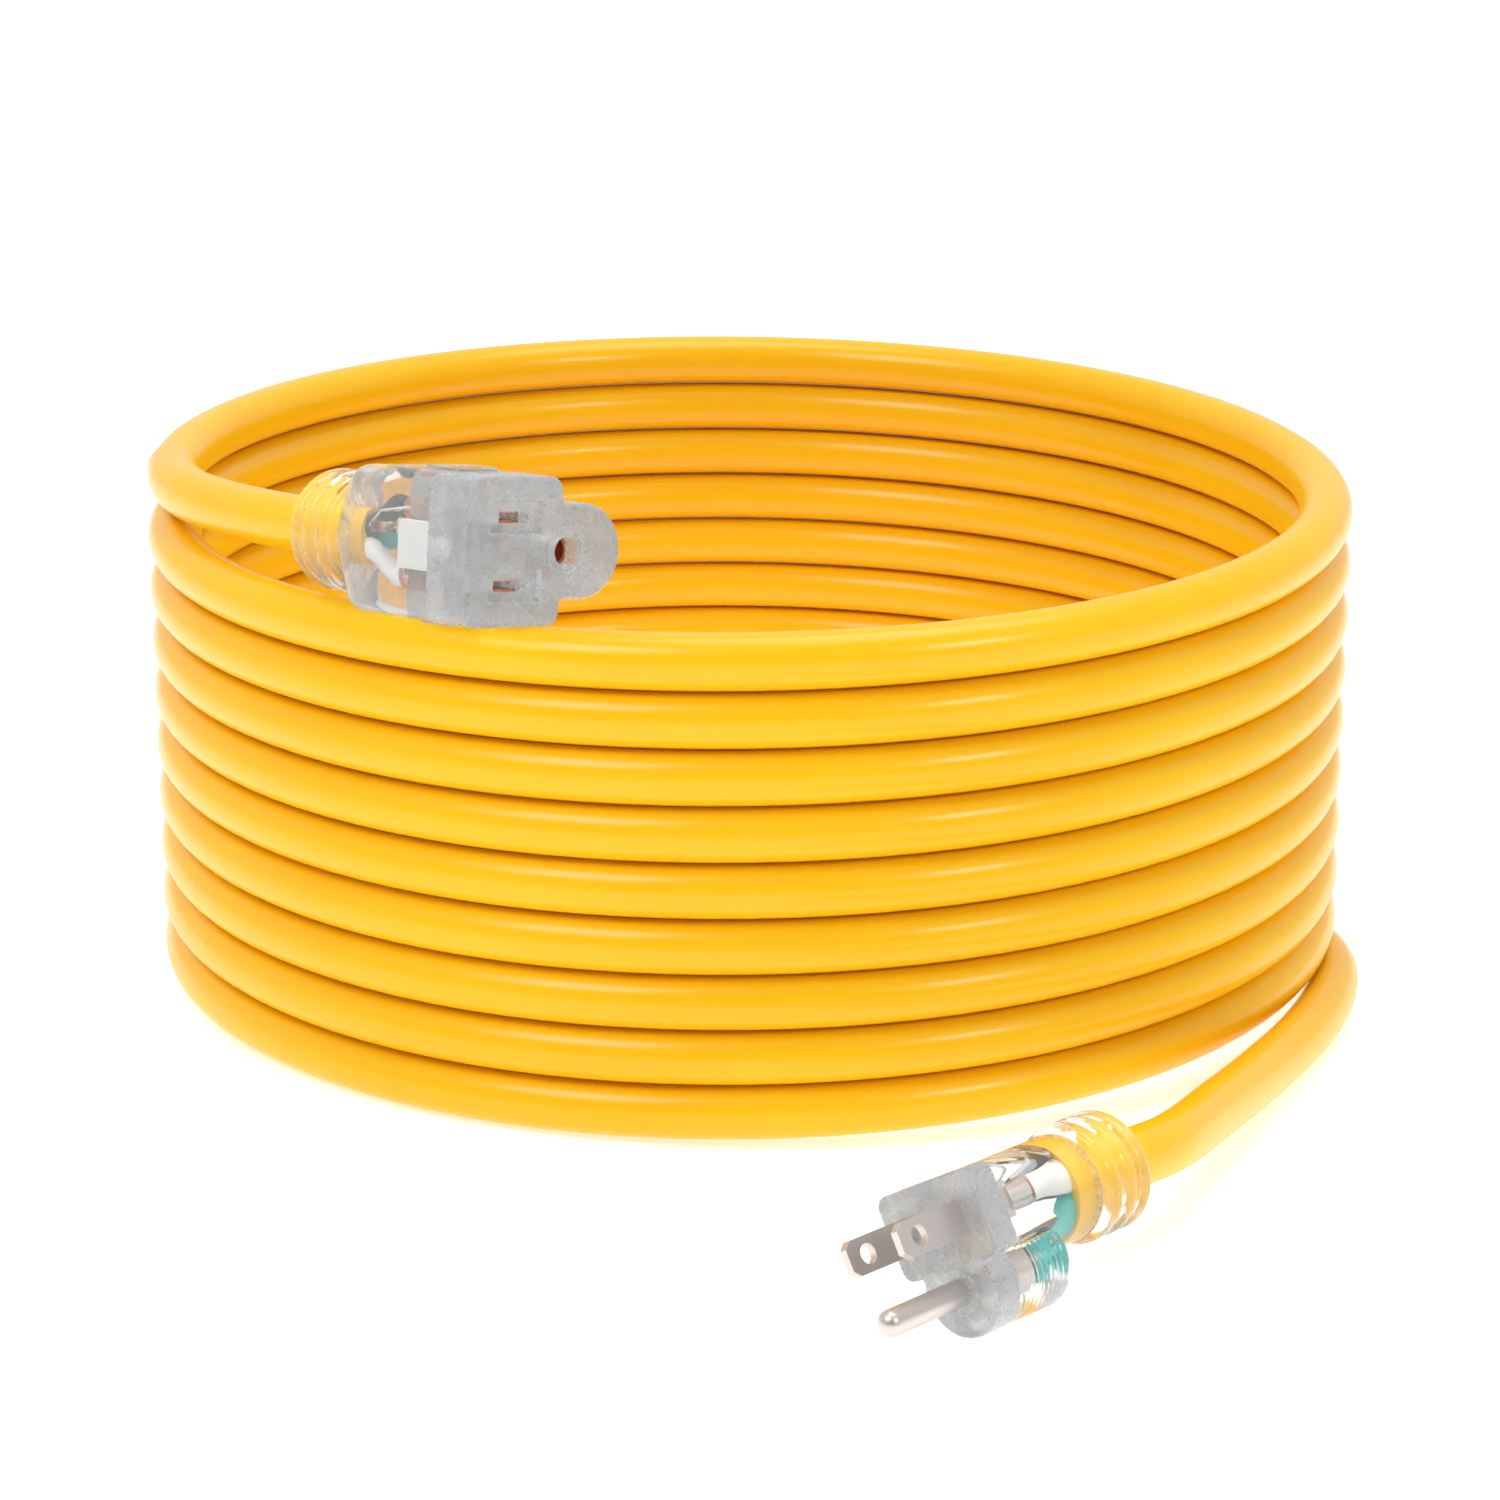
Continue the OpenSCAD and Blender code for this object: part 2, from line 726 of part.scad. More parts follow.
// folded strip that grips a blade between two leaves, with a crimp barrel behind it
module blade_contact(side) {
    depth = contact_end - contact_start;
    base = 0.8;
    color(copper)
        at_connector()
            translate([side * blade_gap / 2, 0, 0]) {
                difference() {
                    translate([-contact_t / 2, -contact_w / 2, -contact_end])
                        cube([contact_t, contact_w, depth]);
                    translate([-contact_mouth / 2, -contact_w / 2 - eps, base - contact_end])
                        cube([contact_mouth, contact_w + 2 * eps, depth]);
                }
                crimp(conn_crimp_z, -conn_crimp_z - contact_end + 0.1);
            }
}

module connector_contact_line() {
    blade_contact(1);
}

module connector_contact_neutral() {
    blade_contact(-1);
}

// rolled sleeve that grips the ground pin, with a strap back to its crimp barrel
module connector_contact_ground() {
    strap = [3.6, 0.7];
    strap_y = ground_sleeve_r + 0.1 - ground_offset;
    color(copper)
        at_connector() {
            difference() {
                translate([0, -ground_offset, -sleeve_end])
                    cylinder(h = sleeve_end - contact_start, r = ground_sleeve_r + sleeve_wall);
                translate([0, -ground_offset, -sleeve_end - eps])
                    cylinder(h = sleeve_end, r = ground_sleeve_r);
            }
            translate([-strap[0] / 2, strap_y, ground_crimp_z + 1])
                cube([strap[0], strap[1], -ground_crimp_z - 1 - sleeve_end + 0.6]);
            translate([0, ground_crimp_y, 0])
                crimp(ground_crimp_z, crimp_l);
        }
}

module connector_jacket_end() {
    color(jacket_yellow)
        at_connector()
            jacket_end(-conn_length, conn_jacket_z);
}

module connector_wire_line() {
    color(insulation_black)
        at_connector()
            conductor(30, 1 - conn_length, conn_lay_z, conn_bared_line);
}

module connector_wire_neutral() {
    color(insulation_white)
        at_connector()
            conductor(150, 1 - conn_length, conn_lay_z, conn_bared_neutral);
}

module connector_wire_ground() {
    color(insulation_green)
        at_connector()
            wire([lay(270, 1 - conn_length), lay(270, conn_lay_z),
                conn_bared_ground - [0, 0, 2.7], conn_bared_ground], wire_r);
}

module connector_strand_ends() {
    color(copper)
        at_connector() {
            strands(conn_bared_line);
            strands(conn_bared_neutral);
            strands(conn_bared_ground);
        }
}

// pale block that holds the lamp behind the face
module connector_lamp_holder() {
    holder = [9, 4.8];
    low = conn_lamp_y - holder[1] / 2;
    color(holder_white)
        at_connector()
            difference() {
                translate([-holder[0] / 2, low, -holder_end])
                    cube([holder[0], holder[1], holder_end - conn_block_depth]);
                translate([0, conn_lamp_y, -conn_block_depth - conn_lamp_l / 2])
                    cylinder(h = conn_lamp_l, d = lamp_d + 2 * seat);
                for (side = [-1, 1])
                    translate([0.9 * side, conn_lamp_y, -holder_end - eps])
                        cylinder(h = holder_end - conn_block_depth, r = lead_r + seat);
            }
}

module connector_lamp() {
    color(lamp_clear)
        at_connector()
            translate([0, conn_lamp_y, seat - conn_block_depth - conn_lamp_l / 2])
                lamp(conn_lamp_l - 2 * seat);
}

module connector_lamp_resistor() {
    color(resistor_tan)
        at_connector()
            translate(conn_resistor_at)
                rotate([0, -90, 0])
                    resistor();
}

// leads from the lamp to the neutral crimp, and through the resistor to the line crimp
module connector_lamp_leads() {
    lamp_z = -conn_block_depth - conn_lamp_l / 2;
    over_crimp = crimp_d / 2 + lead_r + seat;
    near = conn_resistor_at + [0, 0, resistor_l + seat];
    far = conn_resistor_at - [0, 0, seat];
    color(nickel)
        at_connector() {
            wire([[0.9, conn_lamp_y, lamp_z], [0.9, conn_lamp_y, -holder_end - 0.6],
                near + [0, 0, 0.8], near], lead_r);
            wire([far, far - [0, 0, 0.8], [5.4, 5.6, -30],
                [blade_gap / 2, over_crimp, conn_crimp_z + 1], [blade_gap / 2, over_crimp, conn_crimp_z + 3]],
                lead_r);
            wire([[-0.9, conn_lamp_y, lamp_z], [-0.9, conn_lamp_y, -holder_end - 1],
                [-blade_gap / 2, over_crimp, conn_crimp_z + 1], [-blade_gap / 2, over_crimp, conn_crimp_z + 3]],
                lead_r);
        }
}

cord_coil();
cord_lead_connector();
cord_lead_plug();
plug_face_block();
plug_shell();
plug_collar();
plug_blade_line();
plug_blade_neutral();
plug_ground_pin();
plug_jacket_end();
plug_wire_line();
plug_wire_neutral();
plug_wire_ground();
plug_strand_ends();
plug_lamp();
plug_lamp_resistor();
plug_lamp_leads();
connector_face_block();
connector_contact_carrier();
connector_shell();
connector_collar();
connector_contact_line();
connector_contact_neutral();
connector_contact_ground();
connector_jacket_end();
connector_wire_line();
connector_wire_neutral();
connector_wire_ground();
connector_strand_ends();
connector_lamp_holder();
connector_lamp();
connector_lamp_resistor();
connector_lamp_leads();
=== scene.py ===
"""Looks of a grounded extension cord: a standing coil, a clear plug and a clear lighted connector.

Every size is in millimetres and is turned into metres where a mesh is made. The two moulded ends
are built in their own frame: +Z out of the face, +X across the blades and -Y to the ground pin.
"""

import logging
import math
from dataclasses import dataclass, field
from enum import Enum
from typing import Callable, Sequence

import bmesh
import bpy
from mathutils import Matrix, Vector


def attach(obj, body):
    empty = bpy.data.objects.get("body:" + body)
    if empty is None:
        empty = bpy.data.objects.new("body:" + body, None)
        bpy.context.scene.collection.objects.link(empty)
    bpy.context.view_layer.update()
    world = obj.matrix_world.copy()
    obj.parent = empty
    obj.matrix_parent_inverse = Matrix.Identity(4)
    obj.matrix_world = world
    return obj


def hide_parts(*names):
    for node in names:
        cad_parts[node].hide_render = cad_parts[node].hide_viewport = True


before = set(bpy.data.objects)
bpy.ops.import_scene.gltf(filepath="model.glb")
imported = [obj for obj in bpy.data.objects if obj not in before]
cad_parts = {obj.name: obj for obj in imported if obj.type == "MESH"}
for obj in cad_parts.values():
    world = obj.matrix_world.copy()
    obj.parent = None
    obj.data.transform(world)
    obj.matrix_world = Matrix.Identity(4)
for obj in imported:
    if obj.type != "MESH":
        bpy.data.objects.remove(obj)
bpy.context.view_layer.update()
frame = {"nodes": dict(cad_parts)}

log = logging.getLogger("extension_cord")

Piece = bpy.types.Object
Pair = tuple[float, float]
Point = tuple[float, float, float]
Outline = Callable[[float, float], float]

MM = 0.001
ROOT = "root"
COIL_MIDDLE: Pair = (-0.67, 52.12)

# how every finish is mixed
COAT_ROUGHNESS = 0.06
SCATTER = (0.004, 0.0025, 0.001)
NOISE_DETAIL = 3.0
NOISE_HOLLOW, NOISE_PEAK = 0.3, 0.7
BUMP_STRENGTH = 0.5
LAMP_TINT = (0.93, 0.93, 0.93, 1)

# how outlines are traced and meshes are made
OUTLINE_POINTS = 144
OUTLINE_MIDDLE = -4.0
RAY_LENGTH, RAY_STEPS, RAY_STRIDE, RAY_NEAR = 40.0, 60, 0.9, 0.004
MERGE_DISTANCE = 1e-7
WIRE_STEPS = 8
WIRE_ACROSS = (0.31, 0.93, 0.19)
BEVEL_STEPS = 3


# ---- finishes


class Tone(Enum):
    """Base colours of the cord's plain plastics, as linear RGB."""

    YELLOW = (0.93, 0.535, 0.008)
    YELLOW_DEEP = (0.91, 0.50, 0.006)
    BLACK = (0.012, 0.012, 0.014)
    GREEN = (0.006, 0.27, 0.24)
    TAN = (0.56, 0.40, 0.20)
    BROWN = (0.10, 0.03, 0.02)


@dataclass(frozen=True)
class Mottle:
    """Fine unevenness of a surface: how its colour, gloss and height vary.

    Attributes:
        scale: Size of the noise, in features per metre.
        roughness: Lowest and highest roughness.
        bump: Height of the bump, in metres.
        stretch: How much finer the noise is along each axis.
    """

    scale: float
    roughness: tuple[float, float]
    bump: float
    stretch: Point = (1.0, 1.0, 1.0)


@dataclass(frozen=True)
class Finish:
    """A surface finish that is built as one node material.

    Attributes:
        name: Name of the material.
        low: Base colour in the hollows of the noise.
        high: Base colour on its peaks.
        mottle: Unevenness of the surface.
        metallic: 1 for a metal.
        coat: Weight of the clear gloss on top.
        transmission: Share of light that goes through.
        ior: Index of refraction.
        specular: Level of the mirror reflection.
        lets_lamps_through: True where lamps reach what is inside a clear piece.
        subsurface: Weight of the light that scatters inside a waxy plastic.
        glow: Light that the surface gives off by itself.
    """

    name: str
    low: Point
    high: Point
    mottle: Mottle
    metallic: float = 0.0
    coat: float = 0.0
    transmission: float = 0.0
    ior: float = 1.5
    specular: float = 0.5
    lets_lamps_through: bool = False
    subsurface: float = 0.0
    glow: float = 0.0

    def material(self) -> bpy.types.Material:
        """Builds the node material once and hands back the same one after that.

        Returns:
            The finished material.
        """
        known = bpy.data.materials.get(self.name)
        if known:
            return known
        made = bpy.data.materials.new(self.name)
        made.use_nodes = True
        tree = made.node_tree
        nodes, links = tree.nodes, tree.links
        shader = nodes["Principled BSDF"]
        settings = {
            "Metallic": self.metallic, "Coat Weight": self.coat, "Coat Roughness": COAT_ROUGHNESS,
            "Transmission Weight": self.transmission, "IOR": self.ior,
            "Specular IOR Level": self.specular, "Subsurface Weight": self.subsurface,
            "Subsurface Radius": SCATTER, "Subsurface Scale": 1.0,
            "Emission Color": (1, 1, 1, 1), "Emission Strength": self.glow,
        }
        for socket, value in settings.items():
            shader.inputs[socket].default_value = value
        noise = self._noise(tree)
        colour = nodes.new("ShaderNodeValToRGB")
        colour.color_ramp.elements[0].position = NOISE_HOLLOW
        colour.color_ramp.elements[0].color = (*self.low, 1)
        colour.color_ramp.elements[1].position = NOISE_PEAK
        colour.color_ramp.elements[1].color = (*self.high, 1)
        links.new(noise.outputs["Fac"], colour.inputs["Fac"])
        links.new(colour.outputs["Color"], shader.inputs["Base Color"])
        gloss = nodes.new("ShaderNodeMapRange")
        gloss.inputs["To Min"].default_value = self.mottle.roughness[0]
        gloss.inputs["To Max"].default_value = self.mottle.roughness[1]
        links.new(noise.outputs["Fac"], gloss.inputs["Value"])
        links.new(gloss.outputs["Result"], shader.inputs["Roughness"])
        bump = nodes.new("ShaderNodeBump")
        bump.inputs["Distance"].default_value = self.mottle.bump
        bump.inputs["Strength"].default_value = BUMP_STRENGTH
        links.new(noise.outputs["Fac"], bump.inputs["Height"])
        links.new(bump.outputs["Normal"], shader.inputs["Normal"])
        if self.lets_lamps_through:
            self._open_to_lamps(tree, shader)
        return made

    def _noise(self, tree: bpy.types.NodeTree) -> bpy.types.Node:
        """Adds the noise that drives colour, gloss and bump.

        Args:
            tree: Node tree of the material.

        Returns:
            The noise node.
        """
        place = tree.nodes.new("ShaderNodeTexCoord")
        spread = tree.nodes.new("ShaderNodeMapping")
        spread.inputs["Scale"].default_value = self.mottle.stretch
        noise = tree.nodes.new("ShaderNodeTexNoise")
        noise.inputs["Scale"].default_value = self.mottle.scale
        noise.inputs["Detail"].default_value = NOISE_DETAIL
        tree.links.new(place.outputs["Object"], spread.inputs["Vector"])
        tree.links.new(spread.outputs["Vector"], noise.inputs["Vector"])
        return noise

    def _open_to_lamps(self, tree: bpy.types.NodeTree, shader: bpy.types.Node) -> None:
        """Lets lamps shine straight through the piece on to what is inside it.

        Args:
            tree: Node tree of the material.
            shader: The shader that everything else sees.
        """
        path = tree.nodes.new("ShaderNodeLightPath")
        clear = tree.nodes.new("ShaderNodeBsdfTransparent")
        clear.inputs["Color"].default_value = LAMP_TINT
        mix = tree.nodes.new("ShaderNodeMixShader")
        tree.links.new(path.outputs["Is Shadow Ray"], mix.inputs[0])
        tree.links.new(shader.outputs[0], mix.inputs[1])
        tree.links.new(clear.outputs[0], mix.inputs[2])
        tree.links.new(mix.outputs[0], tree.nodes["Material Output"].inputs["Surface"])


JACKET = Finish(
    "yellow_jacket", Tone.YELLOW_DEEP.value, Tone.YELLOW.value,
    Mottle(22.0, (0.22, 0.30), 0.00002), coat=0.06, subsurface=0.04, specular=0.28,
)
CLEAR = Finish(
    "clear_pvc", (0.88, 0.89, 0.90), (0.95, 0.95, 0.95),
    Mottle(120.0, (0.05, 0.12), 0.0002), transmission=0.94, ior=1.43, lets_lamps_through=True,
)
HAZY = Finish(
    "hazy_pvc", (0.70, 0.72, 0.73), (0.82, 0.83, 0.83),
    Mottle(260.0, (0.05, 0.16), 0.0003), transmission=0.82, ior=1.43, lets_lamps_through=True,
)
FROSTED = Finish(
    "frosted_pvc", (0.60, 0.62, 0.63), (0.68, 0.69, 0.70),
    Mottle(420.0, (0.22, 0.33), 0.0001), transmission=0.65, ior=1.43, lets_lamps_through=True,
)
NICKEL = Finish(
    "nickel_plate", (0.055, 0.042, 0.040), (0.16, 0.13, 0.12),
    Mottle(110.0, (0.13, 0.24), 0.00005, (1.0, 1.0, 0.4)), metallic=1.0, specular=0.3,
)
COPPER = Finish(
    "bright_copper", (0.50, 0.17, 0.07), (0.80, 0.36, 0.18),
    Mottle(700.0, (0.22, 0.40), 0.0002), metallic=1.0,
)
STRANDS = Finish(
    "copper_strands", (0.50, 0.17, 0.10), (0.90, 0.46, 0.33),
    Mottle(1500.0, (0.25, 0.45), 0.0004, (1.0, 1.0, 0.15)), metallic=1.0,
)
BLACK_WIRE = Finish(
    "black_insulation", Tone.BLACK.value, (0.03, 0.03, 0.034),
    Mottle(400.0, (0.30, 0.42), 0.0001),
)
WHITE_WIRE = Finish(
    "white_insulation", (0.40, 0.41, 0.42), (0.58, 0.59, 0.60),
    Mottle(400.0, (0.30, 0.42), 0.0001),
)
GREEN_WIRE = Finish(
    "green_insulation", Tone.GREEN.value, (0.012, 0.40, 0.38),
    Mottle(400.0, (0.28, 0.40), 0.0001),
)
MILKY = Finish(
    "milky_pvc", (0.74, 0.75, 0.75), (0.84, 0.85, 0.85),
    Mottle(300.0, (0.16, 0.30), 0.0001), transmission=0.85, ior=1.40, lets_lamps_through=True,
)
PALE = Finish(
    "pale_plastic", (0.24, 0.25, 0.24), (0.32, 0.33, 0.32),
    Mottle(500.0, (0.3, 0.45), 0.0001), transmission=0.55, lets_lamps_through=True,
)
LENS = Finish(
    "lamp_lens", (0.50, 0.68, 0.95), (0.78, 0.88, 1.0),
    Mottle(300.0, (0.03, 0.08), 0.0001), transmission=0.75, ior=1.55, lets_lamps_through=True,
)
RESISTOR = Finish(
    "resistor_lacquer", Tone.BROWN.value, Tone.TAN.value,
    Mottle(420.0, (0.25, 0.4), 0.0001), coat=0.3,
)
TINNED = Finish(
    "tinned_wire", (0.40, 0.40, 0.42), (0.62, 0.62, 0.64),
    Mottle(900.0, (0.2, 0.35), 0.0001), metallic=1.0,
)
FLOOR = Finish(
    "studio_floor", (0.88, 0.88, 0.88), (0.92, 0.92, 0.92),
    Mottle(3.0, (0.85, 0.95), 0.0), specular=0.1, glow=0.5,
)


# ---- outlines and meshes


def linked(name: str, data: bpy.types.ID) -> Piece:
    """Puts new data into the scene as an object.

    Args:
        name: Name of the object.
        data: Its mesh, curve, lamp or camera.

    Returns:
        The object.
    """
    made = bpy.data.objects.new(name, data)
    bpy.context.scene.collection.objects.link(made)
    return made


def box_outline(w: float, h: float, r: float) -> Outline:
    """Signed distance to a rectangle with round corners.

    Args:
        w: Width along X.
        h: Height along Y.
        r: Radius of the corners.

    Returns:
        The distance as a function of x and y, negative inside.
    """

    def distance(px: float, py: float) -> float:
        """Distance of one point."""
        dx, dy = abs(px) - w / 2 + r, abs(py) - h / 2 + r
        return math.hypot(max(dx, 0), max(dy, 0)) + min(max(dx, dy), 0) - r

    return distance


def capsule_outline(y0: float, y1: float, r: float) -> Outline:
    """Signed distance to a round-ended bar along Y.

    Args:
        y0: Middle of the circle at one end.
        y1: Middle of the circle at the other end.
        r: Radius of the bar.

    Returns:
        The distance as a function of x and y, negative inside.
    """

    def distance(px: float, py: float) -> float:
        """Distance of one point."""
        return math.hypot(px, py - min(max(py, min(y0, y1)), max(y0, y1))) - r

    return distance


def blended(a: Outline, b: Outline, t: float) -> Outline:
    """Outline part of the way from one to another."""
    return lambda x, y: (1 - t) * a(x, y) + t * b(x, y)


def joined(a: Outline, b: Outline, fillet: float) -> Outline:
    """Union of two outlines, with a fillet where they meet.

    Args:
        a: First outline.
        b: Second outline.
        fillet: Size of the fillet.

    Returns:
        The outline of both together.
    """

    def distance(x: float, y: float) -> float:
        """Distance of one point."""
        p, q = a(x, y), b(x, y)
        h = max(fillet - abs(p - q), 0) / fillet
        return min(p, q) - h * h * fillet / 4

    return distance


def traced(outline: Outline, inset: float = 0.0) -> list[Pair]:
    """Points around an outline, found along rays from a middle point.

    Args:
        outline: The outline, as a signed distance.
        inset: How far inside the outline the points lie.

    Returns:
        The points, anticlockwise.
    """
    points = []
    for k in range(OUTLINE_POINTS):
        a = 2 * math.pi * k / OUTLINE_POINTS
        ux, uy = math.cos(a), math.sin(a)
        out = RAY_LENGTH
        for _ in range(RAY_STEPS):
            d = outline(out * ux, OUTLINE_MIDDLE + out * uy) + inset
            if d < RAY_NEAR:
                break
            out -= d * RAY_STRIDE
        points.append((out * ux, OUTLINE_MIDDLE + out * uy))
    return points


@dataclass(frozen=True)
class Place:
    """Where one moulded end lies.

    Attributes:
        at: Middle of the blades or slots on the face, from the middle of the coil on the floor.
        heading: Direction of the face about the vertical, in degrees.
        rise: How far the face looks up, in degrees.
        roll: Turn about the end's own axis, in degrees.
    """

    at: Point
    heading: float
    rise: float
    roll: float

    def matrix(self) -> Matrix:
        """Turns the end's own millimetres into metres in the shared frame.

        Returns:
            The matrix that places the end.
        """
        x, y, z = self.at
        place = Matrix.Translation(Vector((x + COIL_MIDDLE[0], y + COIL_MIDDLE[1], z)) * MM)
        turn = (
            Matrix.Rotation(math.radians(self.heading), 4, "Z")
            @ Matrix.Rotation(math.radians(90 - self.rise), 4, "Y")
            @ Matrix.Rotation(math.radians(180 - self.roll), 4, "Z")
        )
        return place @ turn @ Matrix.Scale(MM, 4)


class Workshop:
    """Makes meshes in millimetres and puts them in place as finished pieces."""

    def __init__(self, matrix: Matrix) -> None:
        """Keeps the matrix that places everything this workshop makes."""
        self.matrix = matrix

    def piece(self, name: str, verts: Sequence[Point], faces: Sequence[Sequence[int]]) -> Piece:
        """Makes an object from points and faces.

        Args:
            name: Name of the piece.
            verts: Points in the workshop's own frame.
            faces: Faces as lists of point numbers.

        Returns:
            The object, in place and smooth.
        """
        mesh = bpy.data.meshes.new(name)
        placed = [tuple(self.matrix @ Vector(v)) for v in verts]
        mesh.from_pydata(placed, [], [list(face) for face in faces])
        tidy = bmesh.new()
        tidy.from_mesh(mesh)
        bmesh.ops.remove_doubles(tidy, verts=tidy.verts, dist=MERGE_DISTANCE)
        bmesh.ops.recalc_face_normals(tidy, faces=tidy.faces)
        tidy.to_mesh(mesh)
        tidy.free()
        mesh.shade_smooth()
        return linked(name, mesh)

    def loft(
        self, name: str, rings: Sequence[Sequence[Point]], poles: tuple[Point, Point] | None = None
    ) -> Piece:
        """Closed solid through rings that have the same number of points.

        Args:
            name: Name of the piece.
            rings: The rings, in order.
            poles: Points that close the first and the last ring, or None for their middles.

        Returns:
            The solid.
        """
        n = len(rings[0])
        verts = [p for ring in rings for p in ring]
        faces = self.bands(n, len(rings) - 1)
        for end, start in enumerate((0, (len(rings) - 1) * n)):
            middle = [sum(verts[start + k][a] for k in range(n)) / n for a in range(3)]
            verts.append(poles[end] if poles else tuple(middle))
            faces += [[start + k, start + (k + 1) % n, len(verts) - 1] for k in range(n)]
        return self.piece(name, verts, faces)

    def bands(self, n: int, count: int) -> list[list[int]]:
        """Faces between rings of n points, for so many bands."""
        return [
            [i * n + k, i * n + (k + 1) % n, (i + 1) * n + (k + 1) % n, (i + 1) * n + k]
            for i in range(count)
            for k in range(n)
        ]

    def turned(
        self, profile: Sequence[Pair], x: float, y: float, count: int
    ) -> list[list[Point]]:
        """Rings of a profile of radius and height, turned about an axis at x and y."""
        spin = [2 * math.pi * k / count for k in range(count)]
        return [
            [(x + r * math.cos(a), y + r * math.sin(a), z) for a in spin] for r, z in profile
        ]

    def lathe(
        self, name: str, profile: Sequence[Pair], x: float = 0.0, y: float = 0.0, count: int = 96
    ) -> Piece:
        """Closed solid turned about an axis along Z.

        Args:
            name: Name of the piece.
            profile: Radius and height of each step, from a point on the axis to another one.
            x: Place of the axis along X.
            y: Place of the axis along Y.
            count: Number of steps round the axis.

        Returns:
            The solid.
        """
        ends = ((x, y, profile[0][1]), (x, y, profile[-1][1]))
        return self.loft(name, self.turned(profile[1:-1], x, y, count), ends)

    def hoop(self, name: str, profile: Sequence[Pair], y: float, count: int = 64) -> Piece:
        """Ring turned from a closed profile that stays clear of its axis.

        Args:
            name: Name of the piece.
            profile: Radius and height of each corner, all the way round.
            y: Place of the axis along Y.
            count: Number of steps round the axis.

        Returns:
            The ring.
        """
        rings = self.turned(profile, 0.0, y, count)
        verts = [p for ring in rings for p in ring]
        wrap = len(verts)
        faces = [[v % wrap for v in face] for face in self.bands(count, len(rings))]
        return self.piece(name, verts, faces)

    def block(self, name: str, low: Point, high: Point) -> Piece:
        """Plain block between two corners, for cutting or joining.

        Args:
            name: Name of the piece.
            low: Lowest corner.
            high: Highest corner.

        Returns:
            The block.
        """
        ends = (low, high)
        both = (0, 1)
        verts = [(ends[i][0], ends[j][1], ends[k][2]) for i in both for j in both for k in both]
        faces = [
            (0, 1, 3, 2), (4, 6, 7, 5), (0, 4, 5, 1), (2, 3, 7, 6), (0, 2, 6, 4), (1, 5, 7, 3),
        ]
        return self.piece(name, verts, faces)

    def tube(self, name: str, route: Sequence[Point], r: float, count: int = 32) -> Piece:
        """Round wire along a smooth route.

        Args:
            name: Name of the piece.
            route: Points that the wire passes through.
            r: Radius of the wire.
            count: Number of points round it.

        Returns:
            The wire, with flat ends.
        """
        path = smoothed([Vector(p) for p in route], WIRE_STEPS)
        turn = [2 * math.pi * k / count for k in range(count)]
        rings = []
        across = Vector(WIRE_ACROSS)
        for i, p in enumerate(path):
            t = (path[min(i + 1, len(path) - 1)] - path[max(i - 1, 0)]).normalized()
            side = t.cross(across).normalized()
            top = side.cross(t)
            across = top
            rings.append([tuple(p + r * (math.cos(a) * side + math.sin(a) * top)) for a in turn])
        return self.loft(name, rings)


def smoothed(points: Sequence[Vector], steps: int) -> list[Vector]:
    """Catmull-Rom curve through points.

    Args:
        points: The points that the curve passes through.
        steps: Number of stretches between two points.

    Returns:
        Points close together along the curve.
    """
    ends = [2 * points[0] - points[1], *points, 2 * points[-1] - points[-2]]
    out = []
    for i in range(1, len(ends) - 2):
        p0, p1, p2, p3 = ends[i - 1 : i + 3]
        for s in range(steps):
            t = s / steps
            square = (2 * p0 - 5 * p1 + 4 * p2 - p3) * t * t
            cube = (3 * p1 - p0 - 3 * p2 + p3) * t**3
            out.append(0.5 * (2 * p1 + (p2 - p0) * t + square + cube))
    out.append(points[-1].copy())
    return out


def carve(body: Piece, tools: Sequence[Piece], keep: bool = False) -> None:
    """Cuts tools out of a body, or joins them to it, and removes them.

    Args:
        body: The solid that changes.
        tools: The solids that it is cut or joined with.
        keep: True to join the tools instead of cutting them out.
    """
    for tool in tools:
        change = body.modifiers.new("carve", "BOOLEAN")
        change.operation = "UNION" if keep else "DIFFERENCE"
        change.solver = "EXACT"
        change.object = tool
        bpy.context.view_layer.update()
        seen = body.evaluated_get(bpy.context.evaluated_depsgraph_get())
        shape = bpy.data.meshes.new_from_object(seen)
        body.modifiers.clear()
        old, body.data = body.data, shape
        bpy.data.meshes.remove(old)
        bpy.data.objects.remove(tool)


def crease(piece: Piece, angle: float, bevel: float = 0.0) -> Piece:
    """Keeps edges sharper than an angle crisp, after rounding them a little.

    Args:
        piece: The piece to shade.
        angle: Edges that turn more than this many degrees stay crisp.
        bevel: Width of the rounding in millimetres, or 0 for none.

    Returns:
        The same piece.
    """
    if bevel:
        rounding = piece.modifiers.new("rounding", "BEVEL")
        rounding.width = bevel * MM
        rounding.segments = BEVEL_STEPS
        rounding.limit_method = "ANGLE"
        rounding.angle_limit = math.radians(angle)
    piece.data.shade_smooth()
    piece.data.set_sharp_from_angle(angle=math.radians(angle))
    return piece


def dress(piece: Piece, finish: Finish, slot: str, *nodes: str) -> Piece:
    """Gives a piece its finish, hangs it under the root body and hides the CAD nodes that it
    replaces.

    Args:
        piece: The finished mesh or curve.
        finish: Its surface finish.
        slot: Not used.
        *nodes: CAD nodes that it replaces.

    Returns:
        The same piece.
    """
    piece.data.materials.clear()
    piece.data.materials.append(finish.material())
    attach(piece, ROOT)
    if nodes:
        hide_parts(*nodes)
    return piece


def arc_edge(depth: float, r: float) -> float:
    """Inset of a rounded edge of radius r at a depth below its face."""
    return 0.0 if depth >= r else r - math.sqrt(r * r - (r - depth) ** 2)


def domed(r: float, bend: float, left: float) -> float:
    """Radius of a bar whose end is rounded with radius bend, so far before its end."""
    return r - bend + math.sqrt(max(bend**2 - max(bend - left, 0) ** 2, 0))


# ---- cord


